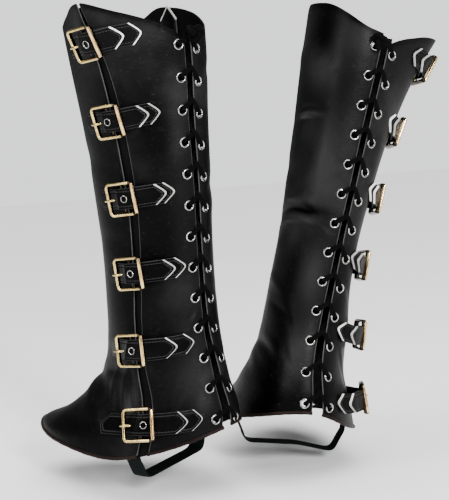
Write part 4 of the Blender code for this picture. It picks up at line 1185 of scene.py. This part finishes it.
def knot_line(size, count=220):
    """A line that goes round and through itself as a tied lump: the three-leaf curve, brought to a size.

    x is sin t + 1.7 sin 2t, y is cos t - 1.7 cos 2t and z is -sin 3t.
    """
    t = np.linspace(0, 2 * np.pi, count)
    x = np.sin(t) + 1.7 * np.sin(2 * t)
    y = np.cos(t) - 1.7 * np.cos(2 * t)
    z = -np.sin(3 * t)
    return np.stack([x, y, z], axis=-1) * np.array(size) / (2 * 2.7, 2 * 2.7, 2)


for chap in CHAPS:
    middle, widthwise, thick, widths, run = lace_route(chap)
    node = f"{chap['name']}_lace"
    mesh = tape(node, middle, widthwise, thick, widths, LACE_THICKNESS, run)
    add_piece(f"{node}_tape", mesh, LACE_CLOTH, "black_lace", node)
    height = TOP_EYELET_HEIGHT - np.mean(chap["eyelet_drop"]) + KNOT_RISE
    axes, here = frame_at(chap, along(LACING_TURN, height), height, 0.0)
    across, up, out = KNOT_SEAT[chap["name"]]
    upright = (1, -chap["side"], 1)
    seat = (across, up, LEATHER + out + KNOT_MIDDLE)
    line = (knot_line(KNOT_SIZE) + seat) * upright * MM @ axes + here
    travel = np.gradient(line, axis=0)
    travel /= np.linalg.norm(travel, axis=1, keepdims=True)
    out_arrow = np.broadcast_to(axes[2], line.shape)
    side = np.cross(travel, out_arrow)
    side /= np.linalg.norm(side, axis=1, keepdims=True)
    breadth, thickness = KNOT_TAPE
    breadths = np.full(len(line), breadth)
    run = np.linspace(0, KNOT_LACE_LENGTH, len(line))
    mesh = tape(f"{node}_knot", line, side, np.cross(side, travel), breadths, thickness, run)
    add_piece(f"{node}_knot_tape", mesh, LACE_CLOTH, "black_lace", f"{node}_knot")

# A thin dark brown leather edging is rolled round the hem of each panel and sewn through from above.
BINDING_DIAMETER = 3.0
BINDING_SPREAD = 0.5
BINDING_OVER_EDGE = 0.3
BINDING_RIPPLES = ((0.12, 2.1), (0.1, 0.7))  # how high, and how many radians a degree
BINDING_LEATHER = leather(
    "binding_leather", (0.007, 0.0042, 0.0034), (0.018, 0.0108, 0.0088), (0.4, 0.55), 0.5, 0.4,
    {"From edge": 1.0, "Stitch": 2.4, "Rim": 0.2}, None, (0.04, 0.03, 0.025),
)
for chap in CHAPS:
    spans = {
        "outer_binding": (float(slit_back(50)), float(lacing_outer(50)), 90),
        "wrap_binding": (float(lacing_inner(50)) - 360, float(slit_front(50)), 300),
    }
    for name, (first, last, steps) in spans.items():
        turns = np.linspace(first, last, steps + 1)
        radius = BINDING_DIAMETER / 2
        ripple = sum(high * np.sin(turns * often) for high, often in BINDING_RIPPLES)
        heights = hem_height(turns) - radius + BINDING_OVER_EDGE + ripple
        line = stand_up(chap, on_leg(turns, heights, np.full(turns.shape, radius)))
        off = stand_up(chap, on_leg(turns, heights, np.full(turns.shape, radius + 3))) - line
        travel = np.gradient(line, axis=0)
        side = np.cross(travel, off)
        side /= np.linalg.norm(side, axis=1, keepdims=True)
        up = np.cross(side, travel)
        up /= np.linalg.norm(up, axis=1, keepdims=True)
        run = np.concatenate([[0], np.cumsum(np.linalg.norm(np.diff(line, axis=0), axis=1))])
        node = f"{chap['name']}_{name}"
        breadths = np.full(len(line), BINDING_DIAMETER + BINDING_SPREAD)
        mesh = tape(node, line, side, up, breadths, BINDING_DIAMETER, run)
        add_piece(f"{node}_edging", mesh, BINDING_LEATHER, "dark_brown_binding", node)

# The stirrup strap runs under the arch of the boot and is sewn inside both sides of the hem. It is a
# ribbed black webbing with a thin rubber face.
STIRRUP_WIDTH = 19.0
STIRRUP_BOTTOM = 10.0
STIRRUP_HALF_SPAN = 45.0
STIRRUP_AT = 16.0  # in front of the leg's axis
STIRRUP_CLEAR = 2.3
STIRRUP_SEWN = 16.0
STIRRUP_BEND = 9.0
STIRRUP_PAST_HEM = 2.0
STIRRUP_STATIONS = 160
STIRRUP_SOFTENED = 9  # stations that each bend is evened over
STIRRUP_WEB = woven("stirrup_web", (0.0015, 0.002, 0.002), (0.006, 0.008, 0.008), 2.2)
for chap in CHAPS:
    hem = float(hem_height(90.0))
    top = hem + STIRRUP_SEWN
    angle = np.radians((0, 30, 60, 90))
    inside = LAYER_GAP + STRAP_THICKNESS + STIRRUP_CLEAR
    half_x = [ring("half_breadth", top) - inside, ring("half_breadth", hem) - inside]
    half_x += list(STIRRUP_HALF_SPAN + STIRRUP_BEND * np.cos(angle) - STIRRUP_PAST_HEM) + [0.0]
    half_z = [top, hem - STIRRUP_PAST_HEM]
    half_z += list(STIRRUP_BOTTOM + STIRRUP_BEND * (1 - np.sin(angle))) + [STIRRUP_BOTTOM]
    x = np.array(half_x + [-a for a in half_x[-2::-1]], float)
    z = np.array(half_z + half_z[-2::-1], float)
    gone = np.concatenate([[0], np.cumsum(np.hypot(np.diff(x), np.diff(z)))])
    at = np.linspace(0, gone[-1], STIRRUP_STATIONS)
    x, z = np.interp(at, gone, x), np.interp(at, gone, z)
    soften = np.ones(STIRRUP_SOFTENED) / STIRRUP_SOFTENED
    inner = slice(STIRRUP_SOFTENED // 2, -(STIRRUP_SOFTENED // 2))
    x[inner], z[inner] = np.convolve(x, soften, "valid"), np.convolve(z, soften, "valid")
    ahead = np.full(STIRRUP_STATIONS, STIRRUP_AT)
    line = stand_up(chap, np.stack([x, ahead, z], axis=-1))
    beside = stand_up(chap, np.stack([x, ahead + 3, z], axis=-1)) - line
    side = beside / np.linalg.norm(beside, axis=1, keepdims=True)
    up = np.cross(np.gradient(line, axis=0), side)
    up /= np.linalg.norm(up, axis=1, keepdims=True)
    to_foot = stand_up(chap, np.array((0.0, STIRRUP_AT, 60.0))) - line
    up *= np.sign((up * to_foot).sum(axis=1, keepdims=True))
    node = f"{chap['name']}_stirrup"
    line = line + up * STRAP_THICKNESS / 2 * MM
    breadths = np.full(STIRRUP_STATIONS, STIRRUP_WIDTH)
    mesh = tape(node, line, side, up, breadths, STRAP_THICKNESS, at * MM)
    add_piece(f"{node}_web", mesh, STIRRUP_WEB, "strap_leather", node)

# A pointed leather tab, for pulling the chap up, is sewn inside the inner top edge. Its raw edges
# are pale, and its point stands just above the panel.
TAB_TURN = 265.0
TAB_WIDTH = 20.0
TAB_LENGTH = 46.0
TAB_POINT = 13.0
TAB_SLANT = 20.0 / 33.0  # from a height below the point's edge to the way square off it
TAB_ABOVE_EDGE = 1.5
for chap in CHAPS:
    top = float(top_height(chap, TAB_TURN, False)) + TAB_ABOVE_EDGE
    u, v = unit_grid(32, 60)
    high = top - TAB_POINT * np.abs(2 * u - 1)
    height = (top - TAB_LENGTH) * (1 - v) + high * v
    turn = walk(TAB_TURN, top - TAB_LENGTH / 2, (u - 0.5) * TAB_WIDTH)
    inner = stand_up(chap, on_leg(turn, height, np.full(u.shape, -SET_IN - STRAP_THICKNESS)))
    outer = stand_up(chap, on_leg(turn, height, np.full(u.shape, -SET_IN)))
    node = f"{chap['name']}_pull_tab"
    from_point = (high - height) * TAB_SLANT
    points = np.stack([from_point, np.full(u.shape, FAR_AWAY)], axis=-1) * MM
    mesh = shell(node, outer, inner, seam=seam_ruler(outer), cut=points)
    add_piece(f"{node}_leather", mesh, (STRAP_LEATHER, STRAP_LEATHER), "strap_leather", node)

# The stage: a plain pale floor where the boots would stand, soft light from above, from the left and
# from behind the camera, and the camera at the photograph's angle.
GROUND = -0.252
FLOOR_HALF = 6.0
CAMERA_AT = (-0.5935, -0.933, 0.098)
CAMERA_TURN = math.radians(32.1)
CAMERA_DIP = math.radians(5.75)
CAMERA_ROLL = math.radians(-3.4)
CAMERA_LENS = 52.0
CAMERA_FILM = 24.0


def plain(name, shade, roughness):
    """An even painted surface, for the stage alone."""
    material = bpy.data.materials.new(name)
    material.use_nodes = True
    shader = material.node_tree.nodes["Principled BSDF"]
    shader.inputs["Base Color"].default_value = (*shade, 1)
    shader.inputs["Roughness"].default_value = roughness
    return material


corners = [(x * FLOOR_HALF, y * FLOOR_HALF, GROUND) for x, y in ((-1, -1), (1, -1), (1, 1), (-1, 1))]
floor_mesh = bpy.data.meshes.new("floor")
floor_mesh.from_pydata(corners, [], [(0, 1, 2, 3)])
floor_mesh.materials.append(plain("pale_floor", (0.86, 0.86, 0.86), 0.7))
floor = bpy.data.objects.new("floor", floor_mesh)
bpy.context.scene.collection.objects.link(floor)


def soft_light(name, at, size, power):
    """A window of soft light that faces the middle of the pair."""
    lamp = bpy.data.lights.new(name, "AREA")
    lamp.shape = "RECTANGLE"
    lamp.size, lamp.size_y = size
    lamp.energy = power
    holder = bpy.data.objects.new(name, lamp)
    holder.location = at
    x, y, z = at
    dip = math.acos(z / math.sqrt(x * x + y * y + z * z))
    holder.rotation_euler = (dip, 0, math.atan2(-y, -x) - math.pi / 2)
    bpy.context.scene.collection.objects.link(holder)


soft_light("left_window", (-1.9, 0.1, 0.8), (0.6, 1.0), 34)
soft_light("camera_side", (-0.35, -2.1, 0.85), (0.5, 0.8), 95)
soft_light("right_window", (1.8, -1.0, 0.6), (0.6, 1.2), 8)
sky_light = bpy.data.lights.new("overhead", "SUN")
sky_light.energy = 4.6
sky_light.angle = math.radians(70)
bpy.context.scene.collection.objects.link(bpy.data.objects.new("overhead", sky_light))

world = bpy.data.worlds.new("pale_studio")
bpy.context.scene.world = world
world.use_nodes = True
backdrop = world.node_tree.nodes["Background"]
backdrop.inputs["Color"].default_value = (0.97, 0.98, 1.0, 1)
seen = put(world.node_tree, "ShaderNodeLightPath").outputs["Is Camera Ray"]
lit, shown = 0.2, 1.5  # what the backdrop lights the pair with, and how bright the camera sees it
strength = between(world.node_tree, seen, 0.0, 1.0, lit, shown)
world.node_tree.links.new(strength, backdrop.inputs["Strength"])

camera = bpy.data.cameras.new("view")
camera.sensor_fit = "VERTICAL"
camera.sensor_height = CAMERA_FILM
camera.lens = CAMERA_LENS
holder = bpy.data.objects.new("view", camera)
holder.location = CAMERA_AT
holder.rotation_mode = "XYZ"
bpy.context.scene.collection.objects.link(holder)
holder.matrix_world = (
    Matrix.Translation(CAMERA_AT)
    @ Matrix.Rotation(-CAMERA_TURN, 4, "Z")
    @ Matrix.Rotation(math.pi / 2 - CAMERA_DIP, 4, "X")
    @ Matrix.Rotation(CAMERA_ROLL, 4, "Z")
)
bpy.context.scene.camera = holder
